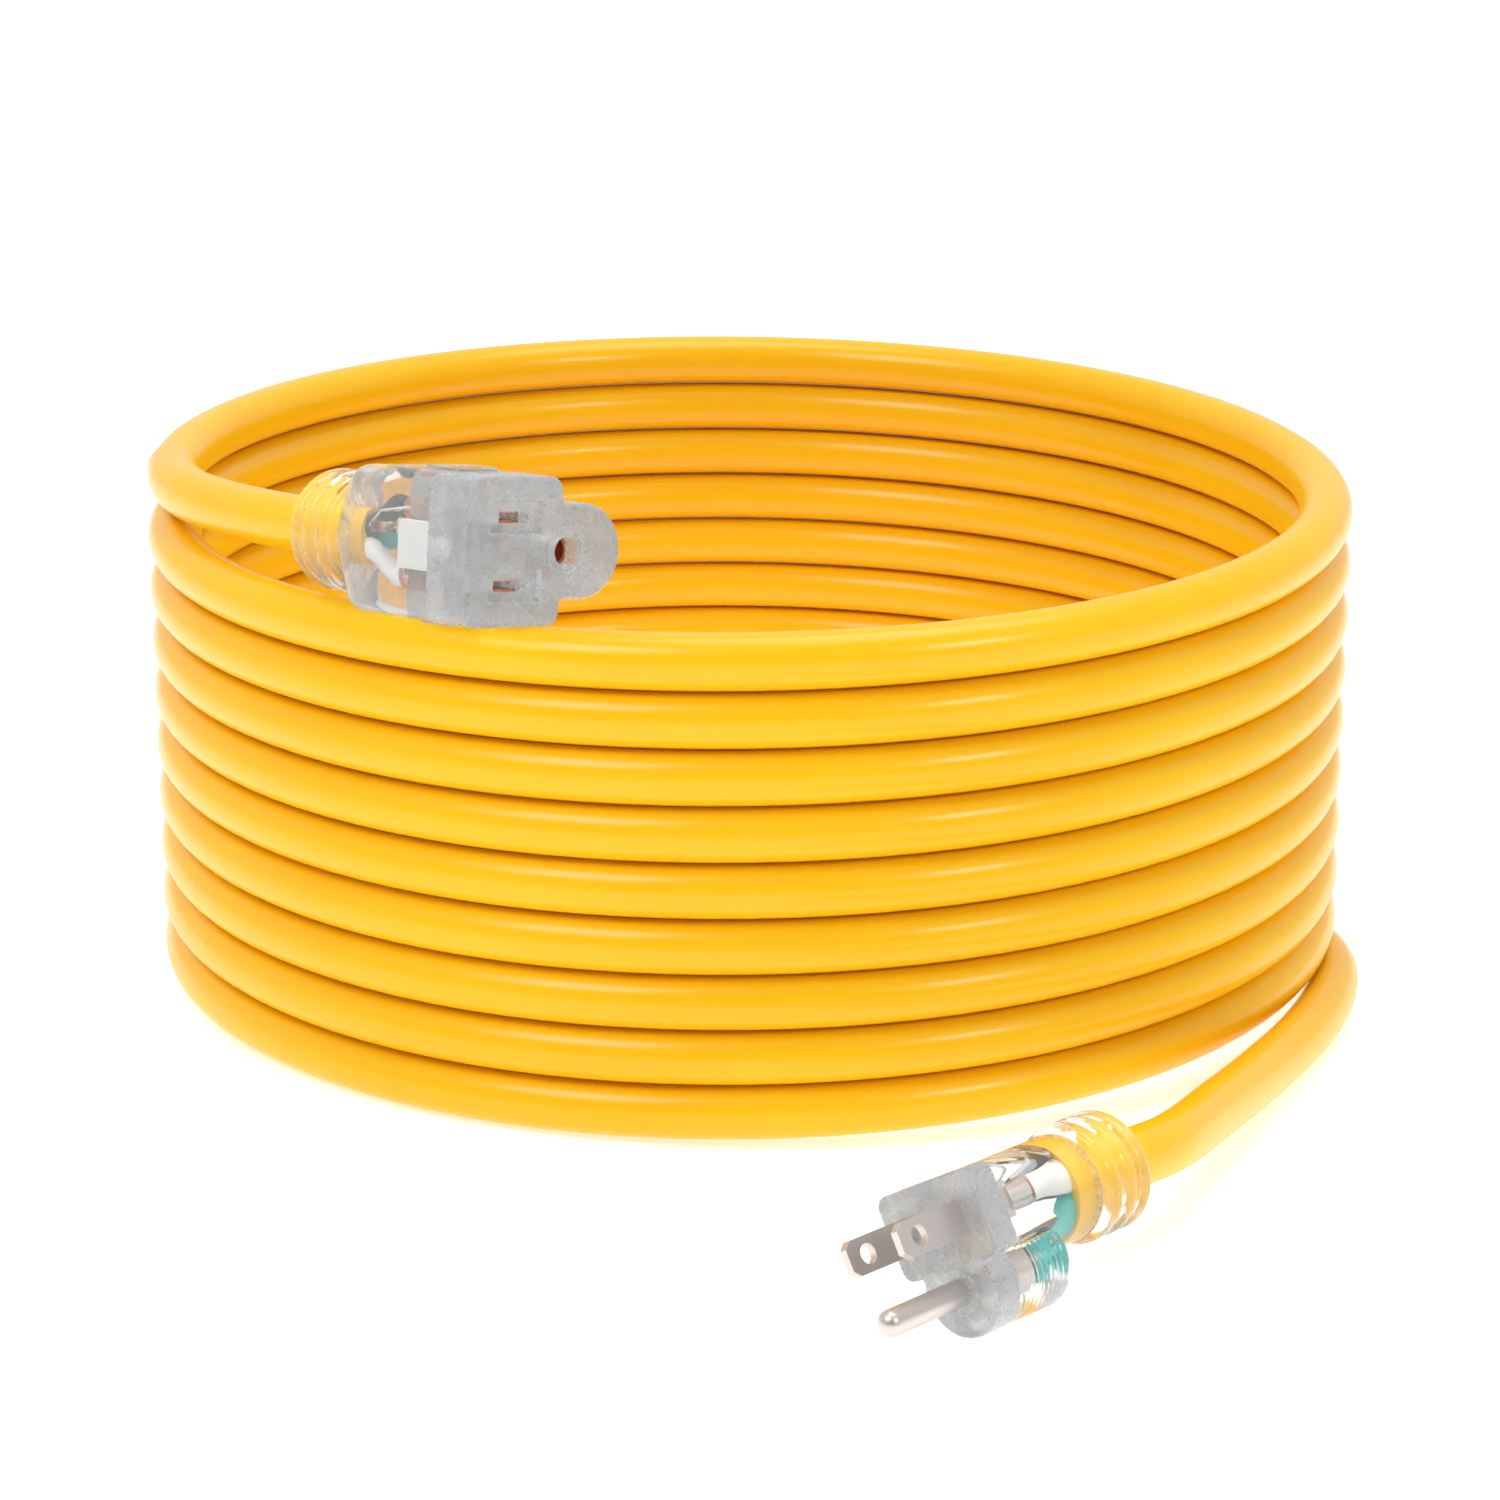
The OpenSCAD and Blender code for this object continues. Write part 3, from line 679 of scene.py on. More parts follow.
@dataclass
class Cord:
    """The yellow cord, wound into a leaning coil with a lead at each end."""

    diameter: float = 11.05
    coil_radius: float = 122.0
    pitch: float = 11.2
    turns: float = 9.5
    lean_front: float = 2.5
    lean_left: float = 0.8
    points_per_turn: int = 96
    smooth_steps: int = 6
    handover: int = 4
    roundness: int = 8
    lead: tuple[Point, ...] = (
        (-123, -14.3, 108.4), (-121.4, -23.4, 108.5), (-118.9, -32.1, 108.7), (-115.6, -40.5, 109),
        (-111.6, -48.5, 109.4), (-107, -56.1, 109.8), (-102, -63.4, 110.3), (-96.7, -70.4, 110.8),
        (-91.1, -77, 111.3), (-86.6, -81.9, 111.8),
    )
    tail: tuple[Point, ...] = (
        (123.2, -7, 5.55), (124.6, -15, 5.6), (124.9, -24, 5.6), (123.6, -35, 5.6),
        (120.9, -46.5, 5.6), (117.3, -58, 5.7), (113, -69.5, 5.9), (108.3, -81, 6.3),
        (103.4, -92.5, 7), (98.6, -104, 7.9), (93.9, -115.5, 9.1), (89.2, -127, 10.5),
        (84.6, -138.5, 11.8), (80.3, -149.5, 13.3), (75.8, -159.5, 14.7),
        (71.4, -166.7, 15.7), (67.4, -172.3, 16.4),
    )

    def wound(self, degrees: float) -> Vector:
        """Middle of the cord after so many degrees of winding, from the middle of the coil.

        Args:
            degrees: How far it is wound from the connector's end.

        Returns:
            The point in millimetres, with the coil leaning but not yet set on the floor.
        """
        a = math.radians(180 - degrees)
        height = self.turns * self.pitch + self.diameter / 2 - self.pitch * degrees / 360
        left = Matrix.Rotation(math.radians(-self.lean_left), 3, "Y")
        lean = left @ Matrix.Rotation(math.radians(self.lean_front), 3, "X")
        x, y = self.coil_radius * math.cos(a), self.coil_radius * math.sin(a)
        return lean @ Vector((x, y, height))

    def coil(self) -> list[Vector]:
        """Winds all the turns and sets them on the floor.

        Returns:
            Points in millimetres, from the middle of the coil.
        """
        count = round(self.turns * self.points_per_turn)
        full = 360 * self.turns
        lift = Vector((0, 0, self.diameter / 2 - self.wound(full).z))
        return [self.wound(full * k / count) + lift for k in range(count + 1)]

    def build(self, start: Sequence[Vector], end: Sequence[Vector]) -> Piece:
        """Makes the cord as one round curve.

        Args:
            start: Points inside the connector, outwards, in metres.
            end: Points inside the plug, inwards, in metres.

        Returns:
            The curve object.
        """
        base = Vector((*COIL_MIDDLE, 0))
        steps, near = self.smooth_steps, self.handover
        turns = [(base + p) * MM for p in self.coil()]
        lead = [(base + Vector(p)) * MM for p in self.lead][::-1]
        tail = [(base + Vector(p)) * MM for p in self.tail]
        first = smoothed([*start, *lead, turns[0], turns[near]], steps)[:-steps]
        last = smoothed([turns[-1 - near], turns[-1], *tail, *end], steps)[steps:]
        path = [*first[:-1], *turns[:-1], *last]
        shape = bpy.data.curves.new("cord", "CURVE")
        shape.dimensions = "3D"
        shape.bevel_depth = self.diameter / 2 * MM
        shape.bevel_resolution = self.roundness
        shape.use_fill_caps = True
        spline = shape.splines.new("POLY")
        spline.points.add(len(path) - 1)
        for point, p in zip(spline.points, path):
            point.co = (*p, 1)
        spline.use_smooth = True
        return dress(
            linked("cord", shape), JACKET, "cord_jacket", "cord_coil", "cord_lead_connector",
            "cord_lead_plug", "plug_jacket_end", "connector_jacket_end",
        )


# ---- what both ends share


@dataclass
class Conductors:
    """Three insulated wires that fan out of the jacket to their crimps."""

    lay_from: float
    lay_to: float
    axis_y: float = 0.0
    wire_d: float = 4.4
    clearance: float = 0.05

    def lay(self, turn: float, z: float) -> Point:
        """Place of a wire in the cord.

        Args:
            turn: Its angle about the cord's axis, in degrees.
            z: Height along the cord.

        Returns:
            The point in the end's own frame.
        """
        r = self.wire_d / math.sqrt(3)
        a = math.radians(turn)
        return (r * math.cos(a), self.axis_y + r * math.sin(a), z)

    def wire(
        self, shop: Workshop, name: str, turn: float, bared: Sequence[Point], finish: Finish
    ) -> Piece:
        """Makes one wire, in place of the CAD node of the same name.

        Args:
            shop: Workshop of the end that it belongs to.
            name: Name of the piece and of the CAD node.
            turn: Its angle in the cord, in degrees.
            bared: Points from the fan to where its copper is bared.
            finish: Its insulation.

        Returns:
            The finished wire.
        """
        heights = (self.lay_from, (self.lay_from + self.lay_to) / 2, self.lay_to)
        route = [*(self.lay(turn, z) for z in heights), *bared]
        made = shop.tube(name + "_insulation", route, self.wire_d / 2 - self.clearance)
        return dress(crease(made, 60), finish, finish.name, name)


@dataclass
class Collar:
    """Ribbed strain relief behind a moulded body, with flex slots and a domed rear end."""

    diameter: float
    length: float
    front: float
    ribs: int
    axis_y: float = 0.0
    rib_depth: float = 1.0
    valley: float = 0.08
    crown: float = 0.84
    fullness: float = 0.35
    last_rib: float = 0.45
    dome: float = 3.4
    steps: int = 12
    slots: int = 4
    slot_w: float = 8.4
    slot_t: float = 1.1
    slot_depth: float = 2.6

    def profile(self) -> list[Pair]:
        """Works out the turned outline, from the front to the rear.

        Returns:
            Radius and height of each step.
        """
        r = self.diameter / 2
        rib = self.length / self.ribs
        out = [(0.0, self.front), (r - 1.6, self.front), (r - 1.1, self.front - 0.15)]
        for i in range(self.ribs):
            top = self.front - i * rib
            last = i == self.ribs - 1
            for k in range(1, self.steps + 1):
                t = k / self.steps
                share = min(max((t - self.valley) / self.crown, 0), 1)
                swell = math.sin(math.pi * share) ** self.fullness
                out.append((r - self.rib_depth * (1 - swell), top - t * rib))
                if last and t > self.last_rib:
                    break
        z = out[-1][1]
        for k in range(1, self.steps + 1):
            a = math.pi / 2 * k / self.steps
            down = (z - self.front + self.length) * math.sin(a)
            out.append((r - self.dome * (1 - math.cos(a)), z - down))
        out.append((0.0, self.front - self.length))
        return out

    def build(self, shop: Workshop, name: str, turn: float) -> Piece:
        """Makes the collar with its flex slots cut.

        Args:
            shop: Workshop of the end that it belongs to.
            name: Name of the CAD node that it replaces.
            turn: Place of the first slot about the axis, in degrees.

        Returns:
            The finished collar.
        """
        body = shop.lathe(name + "_clear", self.profile(), y=self.axis_y)
        rib = self.length / self.ribs
        r, w, h = self.diameter / 2, self.slot_w / 2, self.slot_t / 2
        step = 360 / self.slots
        cutters = []
        for i in range(1, self.ribs):
            level = Matrix.Translation((0, self.axis_y, self.front - i * rib))
            for k in range(self.slots):
                spin = Matrix.Rotation(math.radians(turn + step * k + step / 2 * (i % 2)), 4, "Z")
                maker = Workshop(shop.matrix @ (level @ spin))
                cutters.append(maker.block("slot", (r - self.slot_depth, -w, -h), (r + 2, w, h)))
        carve(body, cutters)
        return dress(crease(body, 38), CLEAR, "clear_plastic", name)


@dataclass
class MouldedEnd:
    """What the plug and the connector share: their place and the way the cord runs in."""

    place: Place
    length: float = 0.0
    axis_drop: float = 0.0
    body_depth: float = 0.0
    collar_d: float = 0.0
    face_round: float = 0.0

    def __post_init__(self) -> None:
        """Sets up the workshop that places everything."""
        self.shop = Workshop(self.place.matrix())

    def along(self, *heights: float) -> list[Vector]:
        """Points on the cord's axis at these heights of the end's own frame, in metres."""
        return [self.place.matrix() @ Vector((0, -self.axis_drop, z)) for z in heights]

    def exit(self) -> Vector:
        """Point where the cord leaves the collar, in metres."""
        return self.along(-self.length)[0]

    def face_rings(self, outline: Outline, depths: Sequence[float]) -> list[list[Point]]:
        """Rings of a front block whose front edge is rounded.

        Args:
            outline: Outline of the block.
            depths: Distance of each ring behind the face.

        Returns:
            The rings, from the face to the rear.
        """
        insets = [arc_edge(d, self.face_round) for d in depths]
        return [[(x, y, -d) for x, y in traced(outline, i)] for d, i in zip(depths, insets)]

    def strain_relief(self, node: str, ribs: int, turn: float) -> Piece:
        """Makes the ribbed collar behind the body.

        Args:
            node: CAD node that it replaces.
            ribs: Number of its ribs.
            turn: Place of its first slot about the axis, in degrees.

        Returns:
            The finished collar.
        """
        back = self.body_depth
        made = Collar(self.collar_d, self.length - back, -back, ribs, -self.axis_drop)
        return made.build(self.shop, node, turn)


# ---- plug

CRIMP_BARREL = ((0, -9.6), (2.45, -9.6), (2.45, -15.5), (1.6, -15.5), (1.6, -10.5), (0, -10.5))


@dataclass
class Plug(MouldedEnd):
    """Clear plug with a frosted front block, two flat blades and a round ground pin."""

    length: float = 47.0
    axis_drop: float = 2.0
    body_depth: float = 34.0
    collar_d: float = 22.0
    face_round: float = 0.7
    face_w: float = 23.0
    face_h: float = 15.6
    corner: float = 2.2
    face_fillet: float = 1.2
    body_fillet: float = 0.6
    block_depth: float = 6.0
    shell_step: float = 0.3
    lobe_r: float = 8.2
    lobe_round: float = 3.0
    lobe_depth: float = 22.0
    rib_start: float = 8.4
    rib_end: float = 19.1
    rib_pitch: float = 1.35
    rib_height: float = 0.17
    ground_offset: float = 11.9
    body_d: float = 19.4
    rear_round: float = 0.9
    waist: float = 24.0
    blade_gap: float = 12.7
    blade_t: float = 1.52
    blade_w: float = 6.35
    blade_l: float = 16.5
    blade_tip: float = 1.5
    blade_root: float = 10.4
    blade_hole: Pair = (11.7, 1.8)
    pin_d: float = 4.76
    pin_l: float = 20.6
    seam_turn: float = 25.0
    jacket_z: float = -29.5
    bared_z: float = -16.7

    def inside(self) -> list[Vector]:
        """Points that the cord follows from the collar to its stripped end, in metres."""
        return self.along(-self.length, -41, -35, self.jacket_z)

    def build(self) -> list[Piece]:
        """Builds every piece of the plug.

        Returns:
            The pieces.
        """
        pieces = [
            self.face_block(), self.shell(), self.strain_relief("plug_collar", 3, 20),
            self.blade("plug_blade_line", -1), self.blade("plug_blade_neutral", 1),
            self.ground_pin(), *self.wires(),
        ]
        log.info("plug: %d pieces", len(pieces))
        return pieces

    def face_outline(self) -> Outline:
        """Outline of the face and its ground lobe."""
        lobe = capsule_outline(-self.ground_offset, -self.ground_offset, self.lobe_r)
        return joined(box_outline(self.face_w, self.face_h, self.corner), lobe, self.face_fillet)

    def face_block(self) -> Piece:
        """Makes the frosted front block with rounded edges and a raised ring round the pin.

        Returns:
            The finished block.
        """
        depths = (0, 0.05, 0.12, 0.24, 0.42, self.face_round, 2, 4, self.block_depth)
        rings = self.face_rings(self.face_outline(), depths)
        block = self.shop.loft("plug_front_block", rings)
        r = self.pin_d / 2
        rim = [(0, -1), (r + 1.7, -1), (r + 1.7, 0.35), (r + 1.45, 0.6), (r + 0.2, 0.6), (0, 0.3)]
        ring = self.shop.lathe("ring", rim, y=-self.ground_offset, count=64)
        carve(block, [ring], keep=True)
        return dress(crease(block, 40), FROSTED, "frosted_plastic", "plug_face_block")

    def body_outline(self, depth: float) -> Outline:
        """Outline of the clear body at a depth below the face.

        Args:
            depth: Distance behind the face.

        Returns:
            The outline, with the lobe where there is one.
        """
        neck = min(max((depth - self.block_depth) / (self.waist - self.block_depth), 0), 1)
        step = self.shell_step
        face = box_outline(self.face_w - step, self.face_h - step, self.corner)
        barrel = capsule_outline(-self.axis_drop, -self.axis_drop, self.body_d / 2)
        body = blended(face, barrel, neck)
        if depth >= self.lobe_depth:
            return body
        rib = 0.0
        if self.rib_start < depth < self.rib_end:
            wave = math.cos(2 * math.pi * (depth - self.rib_start) / self.rib_pitch)
            rib = self.rib_height * (wave - 1)
        r = domed(self.lobe_r + rib, self.lobe_round, self.lobe_depth - depth)
        lobe = capsule_outline(-self.ground_offset, -self.ground_offset, r)
        return joined(body, lobe, self.body_fillet)

    def shell(self) -> Piece:
        """Makes the clear moulded body: face, waist, round barrel and ribbed ground lobe.

        Returns:
            The finished body.
        """
        depths = [self.block_depth + 0.02 + 0.225 * k for k in range(71)]
        depths += [21.9, 22.01, 22.6, 24, 26, 28, 30, 32, 33.3, 33.8, 34]
        rings = []
        for d in depths:
            inset = self.rear_round * min(max(d - self.body_depth + 1.0, 0), 1) ** 2
            rings.append([(x, y, -d) for x, y in traced(self.body_outline(d), inset)])
        body = self.shop.loft("plug_clear_body", rings)
        return dress(crease(body, 50), CLEAR, "clear_plastic", "plug_shell")

    def blade(self, node: str, side: int) -> Piece:
        """Makes a flat blade with a round hole, a chamfered tip and a crimp barrel.

        Args:
            node: CAD node that it replaces.
            side: 1 or -1, for which side of the face it stands on.

        Returns:
            The finished blade.
        """
        h, tip, x = self.blade_w / 2, self.blade_tip, side * self.blade_gap / 2
        half_tip, shoulder = h - tip * 0.8, self.blade_l - tip
        edge = [
            (-h, -self.blade_root), (h, -self.blade_root), (h, shoulder), (half_tip, self.blade_l),
            (-half_tip, self.blade_l), (-h, shoulder),
        ]
        rings = [[(x + s * self.blade_t / 2, y, z) for y, z in edge] for s in (-1, 1)]
        body = self.shop.loft(node + "_plated", rings)
        z, r = self.blade_hole
        at = self.shop.matrix @ Matrix.Translation((x, 0, z))
        drill = Workshop(at @ Matrix.Rotation(math.pi / 2, 4, "Y"))
        carve(body, [drill.lathe("drill", [(0, -3), (r, -3), (r, 3), (0, 3)], count=48)])
        carve(body, [self.shop.lathe("barrel", CRIMP_BARREL, x=x, count=48)], keep=True)
        return dress(crease(body, 30, 0.16), NICKEL, "nickel_plate", node)

    def ground_pin(self) -> Piece:
        """Makes the round ground pin: a rolled tube with a domed tip and a seam.

        Returns:
            The finished pin.
        """
        r, y = self.pin_d / 2, -self.ground_offset
        profile = [(0, -10.4), (r - 0.2, -10.4), (r - 0.2, -0.2), (r, 0.0), (r, self.pin_l - r)]
        for k in range(1, 13):
            a = math.pi / 2 * k / 12
            profile.append((r * math.cos(a), self.pin_l - r + r * math.sin(a)))
        body = self.shop.lathe("plug_ground_pin_plated", profile, y=y, count=72)
        at = self.shop.matrix @ Matrix.Translation((0, y, 0))
        seam = Workshop(at @ Matrix.Rotation(math.radians(self.seam_turn), 4, "Z"))
        carve(body, [seam.block("seam", (-0.11, r - 0.35, 1.0), (0.11, r + 1, self.pin_l + 1))])
        carve(body, [self.shop.lathe("barrel", CRIMP_BARREL, y=y, count=48)], keep=True)
        return dress(crease(body, 32), NICKEL, "nickel_plate", "plug_ground_pin")

    def wires(self) -> list[Piece]:
        """Makes the three insulated wires behind the blades and the pin.

        Returns:
            The wires.
        """
        harness = Conductors(lay_from=-45, lay_to=-28, axis_y=-self.axis_drop)
        x, y, z = self.blade_gap / 2, -self.ground_offset, self.bared_z
        runs = (
            ("plug_wire_line", 150, [(-x, 0, z - 2.5), (-x, 0, z)], BLACK_WIRE),
            ("plug_wire_neutral", 30, [(x, 0, z - 2.5), (x, 0, z)], WHITE_WIRE),
            ("plug_wire_ground", 270, [(0, -7.2, -23.8), (0, y, -19.3), (0, y, z)], GREEN_WIRE),
        )
        return [harness.wire(self.shop, *run) for run in runs]


# ---- connector


@dataclass
class Connector(MouldedEnd):
    """Clear lighted connector with two slots, a ground hole and a tongue below it."""

    length: float = 55.0
    body_depth: float = 39.5
    collar_d: float = 23.6
    face_round: float = 1.1
    face_w: float = 28.0
    face_h: float = 22.6
    corner: float = 3.0
    face_fillet: float = 1.5
    body_fillet: float = 1.0
    tongue_r: float = 9.0
    tongue_round: float = 4.0
    tongue_reach: float = 25.5
    block_depth: float = 12.0
    tongue_depth: float = 26.0
    shoulder: float = 33.0
    blade_gap: float = 12.7
    slot_w: float = 2.2
    slot_lengths: Pair = (8.4, 7.0)
    pocket: Pair = (2.7, 6.1)
    floor_z: float = -3.6
    sleeve_r: float = 3.17
    ground_offset: float = 11.9
    hole_d: float = 5.4
    jacket_z: float = -36.0
    bared_z: float = -26.2

    def inside(self) -> list[Vector]:
        """Points that the cord follows from its stripped end out of the collar, in metres."""
        return self.along(self.jacket_z, -42, -49, -self.length)

    def build(self) -> list[Piece]:
        """Builds every piece of the connector.

        Returns:
            The pieces.
        """
        pieces = [
            self.face_block(), self.shell(), self.strain_relief("connector_collar", 4, 0),
            *self.wires(),
        ]
        log.info("connector: %d pieces", len(pieces))
        return pieces

    def face_outline(self) -> Outline:
        """Outline of the face and the tongue round the ground hole."""
        tongue = capsule_outline(0, self.tongue_r - self.tongue_reach, self.tongue_r)
        return joined(box_outline(self.face_w, self.face_h, self.corner), tongue, self.face_fillet)

    def face_block(self) -> Piece:
        """Makes the frosted block with its framed slots and its D-shaped ground hole.

        Returns:
            The finished block.
        """
        depths = (0, 0.06, 0.16, 0.32, 0.55, 0.8, self.face_round, 4, 8, self.block_depth)
        rings = self.face_rings(self.face_outline(), depths)
        block = self.shop.loft("connector_front_block", rings)
        carve(block, [*self.slot_cutters(), *self.ground_cutters()])
        lip = [(3.75, -0.6), (4.9, -0.6), (4.9, 0.25), (4.7, 0.45), (3.95, 0.45), (3.75, 0.25)]
        carve(block, [self.shop.hoop("lip", lip, y=-self.ground_offset)], keep=True)
        return dress(crease(block, 40), FROSTED, "frosted_plastic", "connector_face_block")

    def slot_cutters(self) -> list[Piece]:
        """Makes what is cut out for each slot: a tapered window, the slot and its pocket.

        Returns:
            The cutters.
        """
        window = ((3.2, 6.5, 0.2), (2.8, 6.1, -1.3))
        w, (pocket_w, pocket_l) = self.slot_w / 2, (size / 2 for size in self.pocket)
        cutters = []
        for side, length in zip((-1, 1), self.slot_lengths):
            x = side * self.blade_gap / 2
            cutters.append(self.shop.loft("window", [
                [(x - a, -b, z), (x + a, -b, z), (x + a, b, z), (x - a, b, z)] for a, b, z in window
            ]))
            low, high = (x - w, -length / 2, self.floor_z), (x + w, length / 2, 1)
            cutters.append(self.shop.block("slot", low, high))
            low = (x - pocket_w, -pocket_l, -self.block_depth - 1)
            high = (x + pocket_w, pocket_l, self.floor_z + 0.15)
            cutters.append(self.shop.block("pocket", low, high))
        return cutters

    def ground_cutters(self) -> list[Piece]:
        """Makes what is cut out for the ground pin: a D-shaped hole and a round sleeve pocket.

        Returns:
            The cutters.
        """
        y, r, arcs = -self.ground_offset, self.hole_d / 2, 24
        turn = [math.pi * k / arcs for k in range(arcs + 1)]
        arch = [(r * math.cos(a), y + r * math.sin(a)) for a in turn] + [(-r, y - r), (r, y - r)]
        rings = [[(px, py, z) for px, py in arch] for z in (self.floor_z, 1)]
        low, high, wide = -self.block_depth - 1, self.floor_z + 0.15, self.sleeve_r
        sleeve = [(0, low), (wide, low), (wide, high), (0, high)]
        return [
            self.shop.loft("ground_hole", rings),
            self.shop.lathe("sleeve", sleeve, y=y, count=48),
        ]

    def body_outline(self, depth: float) -> Outline:
        """Outline of the clear body at a depth below the face.

        Args:
            depth: Distance behind the face.

        Returns:
            The outline, with the tongue where there is one.
        """
        neck = min(max((depth - self.shoulder) / (self.body_depth - self.shoulder), 0), 1)
        neck = 1 - math.sqrt(max(1 - neck * neck, 0))
        face = box_outline(self.face_w, self.face_h, self.corner + 0.5)
        round_end = capsule_outline(0, 0, self.collar_d / 2 - 0.6)
        body = blended(face, round_end, neck)
        if depth >= self.tongue_depth:
            return body
        r = domed(self.tongue_r, self.tongue_round, self.tongue_depth - depth)
        tongue = capsule_outline(0, self.tongue_r - self.tongue_reach, r)
        return joined(body, tongue, self.body_fillet)

    def shell(self) -> Piece:
        """Makes the clear moulded body with its tongue, shoulders and two side tabs.

        Returns:
            The finished body.
        """
        depths = [self.block_depth + 0.02, 13, 15, 18, 20, 21.5, 22.2, 23, 23.8, 24.5, 25.1]
        depths += [25.6, 25.9, 26.01, 27, 30, 33, 34, 35, 36, 37, 38, 38.6, 39.1, 39.4, 39.5]
        rings = [[(x, y, -d) for x, y in traced(self.body_outline(d))] for d in depths]
        body = self.shop.loft("connector_clear_body", rings)
        tabs = []
        rear, front = -self.block_depth - 9, -self.block_depth - 0.3
        for side in (-1, 1):
            x = side * self.face_w / 2
            low, high = sorted((x - side * 1.0, x + side * 0.8))
            tabs.append(self.shop.block("tab", (low, -5, rear), (high, 5, front)))
        carve(body, tabs, keep=True)
        return dress(crease(body, 40, 0.25), HAZY, "clear_plastic", "connector_shell")

    def wires(self) -> list[Piece]:
        """Makes the three insulated wires behind the contacts.

        Returns:
            The wires.
        """
        harness = Conductors(lay_from=-53, lay_to=-35.1)
        x, z = self.blade_gap / 2, self.bared_z
        runs = (
            ("connector_wire_line", 30, [(x, 0, z - 2.5), (x, 0, z)], BLACK_WIRE),
            ("connector_wire_neutral", 150, [(-x, 0, z - 2.5), (-x, 0, z)], WHITE_WIRE),
            ("connector_wire_ground", 270, [(0, -7, -31.4), (0, -7, -28.7)], GREEN_WIRE),
        )
        return [harness.wire(self.shop, *run) for run in runs]


# ---- fittings kept from the frame


@dataclass
class Fittings:
    """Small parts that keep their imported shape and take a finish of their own."""

    finishes: dict[str, Finish] = field(default_factory=lambda: {
        "plug_strand_ends": STRANDS, "plug_lamp": LENS, "plug_lamp_resistor": RESISTOR,
        "plug_lamp_leads": TINNED, "connector_contact_carrier": MILKY,
        "connector_contact_line": COPPER, "connector_contact_neutral": COPPER,
        "connector_contact_ground": COPPER, "connector_strand_ends": STRANDS,
        "connector_lamp_holder": PALE, "connector_lamp": LENS,
        "connector_lamp_resistor": RESISTOR, "connector_lamp_leads": TINNED,
    })

    def dress(self, nodes: dict[str, Piece]) -> None:
        """Gives each part its finish.

        Args:
            nodes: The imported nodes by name.
        """
        for name, finish in self.finishes.items():
            nodes[name].data.materials.clear()
            nodes[name].data.materials.append(finish.material())
            log.info("%s: %s", name, finish.name)


# ---- studio


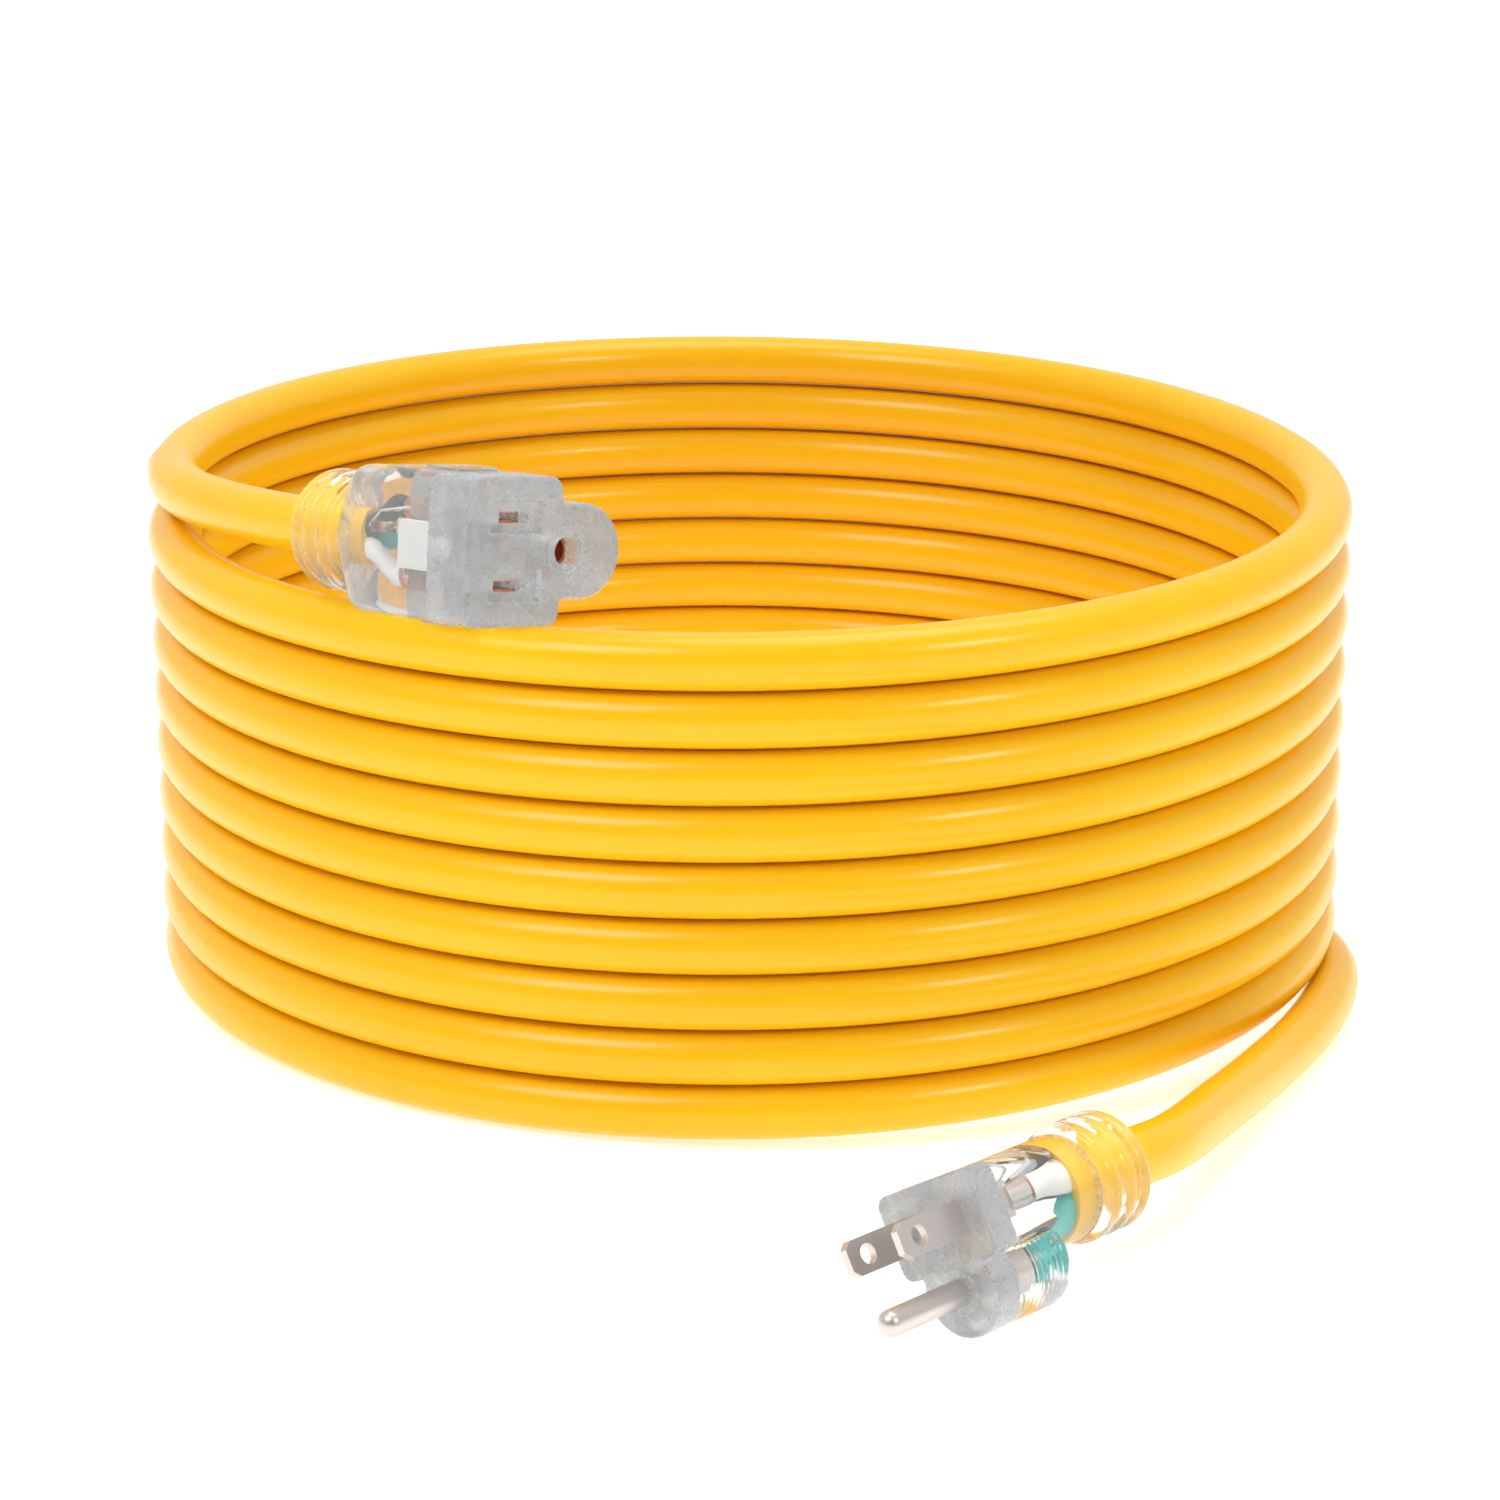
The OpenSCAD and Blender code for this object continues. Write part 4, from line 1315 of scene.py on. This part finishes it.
@dataclass
class Studio:
    """Plain pale floor, soft light and the camera."""

    eye: Point = (-3.869, -866.143, 275.387)
    right: Point = (0.99990252, 0.0, 0.01396218)
    up: Point = (-0.01349676, 0.25604324, 0.9665711)
    lens: float = 98.545
    sensor: float = 36.0
    floor_half: float = 6.0
    sky_strength: float = 0.8
    sky_dark: Point = (0.16, 0.16, 0.17)
    sky_span: Pair = (0.12, 0.62)

    def camera(self) -> Piece:
        """Makes the camera at the viewing angle.

        Returns:
            The camera.
        """
        right, up = Vector(self.right), Vector(self.up)
        turn = Matrix((right, up, right.cross(up))).transposed().to_4x4()
        data = bpy.data.cameras.new("camera")
        data.lens = self.lens
        data.sensor_width = self.sensor
        data.clip_start = 0.05
        made = linked("camera", data)
        at = Vector(self.eye) + Vector((*COIL_MIDDLE, 0))
        made.matrix_world = Matrix.Translation(at * MM) @ turn
        bpy.context.scene.camera = made
        return made

    def lamp(self, name: str, at: Point, size: float, power: float) -> None:
        """Adds a soft square lamp that looks at the coil.

        Args:
            name: Name of the lamp.
            at: Its place in metres.
            size: Length of its side in metres.
            power: Its power in watts.
        """
        data = bpy.data.lights.new(name, "AREA")
        data.size, data.energy = size, power
        made = linked(name, data)
        made.location = at
        aim = Vector((0, 0, 0.05)) - Vector(at)
        made.rotation_euler = aim.to_track_quat("-Z", "Y").to_euler()

    def sky(self) -> None:
        """Surrounds the scene with light, bright behind the object and darker to the front."""
        world = bpy.data.worlds.new("studio")
        world.use_nodes = True
        nodes, links = world.node_tree.nodes, world.node_tree.links
        place = nodes.new("ShaderNodeTexCoord")
        split = nodes.new("ShaderNodeSeparateXYZ")
        ramp = nodes.new("ShaderNodeValToRGB")
        reach = nodes.new("ShaderNodeMapRange")
        reach.inputs["From Min"].default_value = -1.0
        reach.inputs["From Max"].default_value = 1.0
        ramp.color_ramp.elements[0].position = self.sky_span[0]
        ramp.color_ramp.elements[0].color = (*self.sky_dark, 1)
        ramp.color_ramp.elements[1].position = self.sky_span[1]
        ramp.color_ramp.elements[1].color = (1, 1, 1, 1)
        links.new(place.outputs["Generated"], split.inputs["Vector"])
        links.new(split.outputs["Y"], reach.inputs["Value"])
        links.new(reach.outputs["Result"], ramp.inputs["Fac"])
        links.new(ramp.outputs["Color"], nodes["Background"].inputs["Color"])
        nodes["Background"].inputs["Strength"].default_value = self.sky_strength
        bpy.context.scene.world = world

    def build(self) -> None:
        """Builds the floor, the lamps and the surrounding light."""
        half = self.floor_half
        corners = [(-half, -half, 0), (half, -half, 0), (half, half, 0), (-half, half, 0)]
        mesh = bpy.data.meshes.new("floor")
        mesh.from_pydata(corners, [], [(0, 1, 2, 3)])
        mesh.materials.append(FLOOR.material())
        linked("floor", mesh)
        self.lamp("key", (-0.75, -0.85, 1.35), 0.7, 11)
        self.lamp("top", (0.2, 0.2, 1.7), 1.0, 10)
        self.lamp("strip", (0.9, -1.0, 0.9), 0.35, 5)
        self.sky()
        bpy.context.scene.view_settings.view_transform = "Standard"
        log.info("studio: floor, three lamps and camera")


def main() -> None:
    logging.basicConfig(level=logging.INFO, format="%(name)s: %(message)s")
    studio = Studio()
    studio.camera()
    roll, lobe_r, ground_offset = 60.0, Plug.lobe_r, Plug.ground_offset
    plug_height = lobe_r + ground_offset * math.sin(math.radians(roll))
    plug = Plug(Place((31.2, -211.5, plug_height), heading=228.0, rise=0.0, roll=roll))
    connector = Connector(Place((-44.6, -127.0, 116.6), heading=-47.0, rise=4.5, roll=7.0))
    cord = Cord()
    line = cord.build(connector.inside(), plug.inside())
    log.info("cord: %d turns and two leads", int(cord.turns))
    plug_pieces = plug.build()
    connector.build()
    Fittings().dress(frame["nodes"])
    tuple(connector.exit())
    studio.build()


if __name__ == "__main__":
    main()
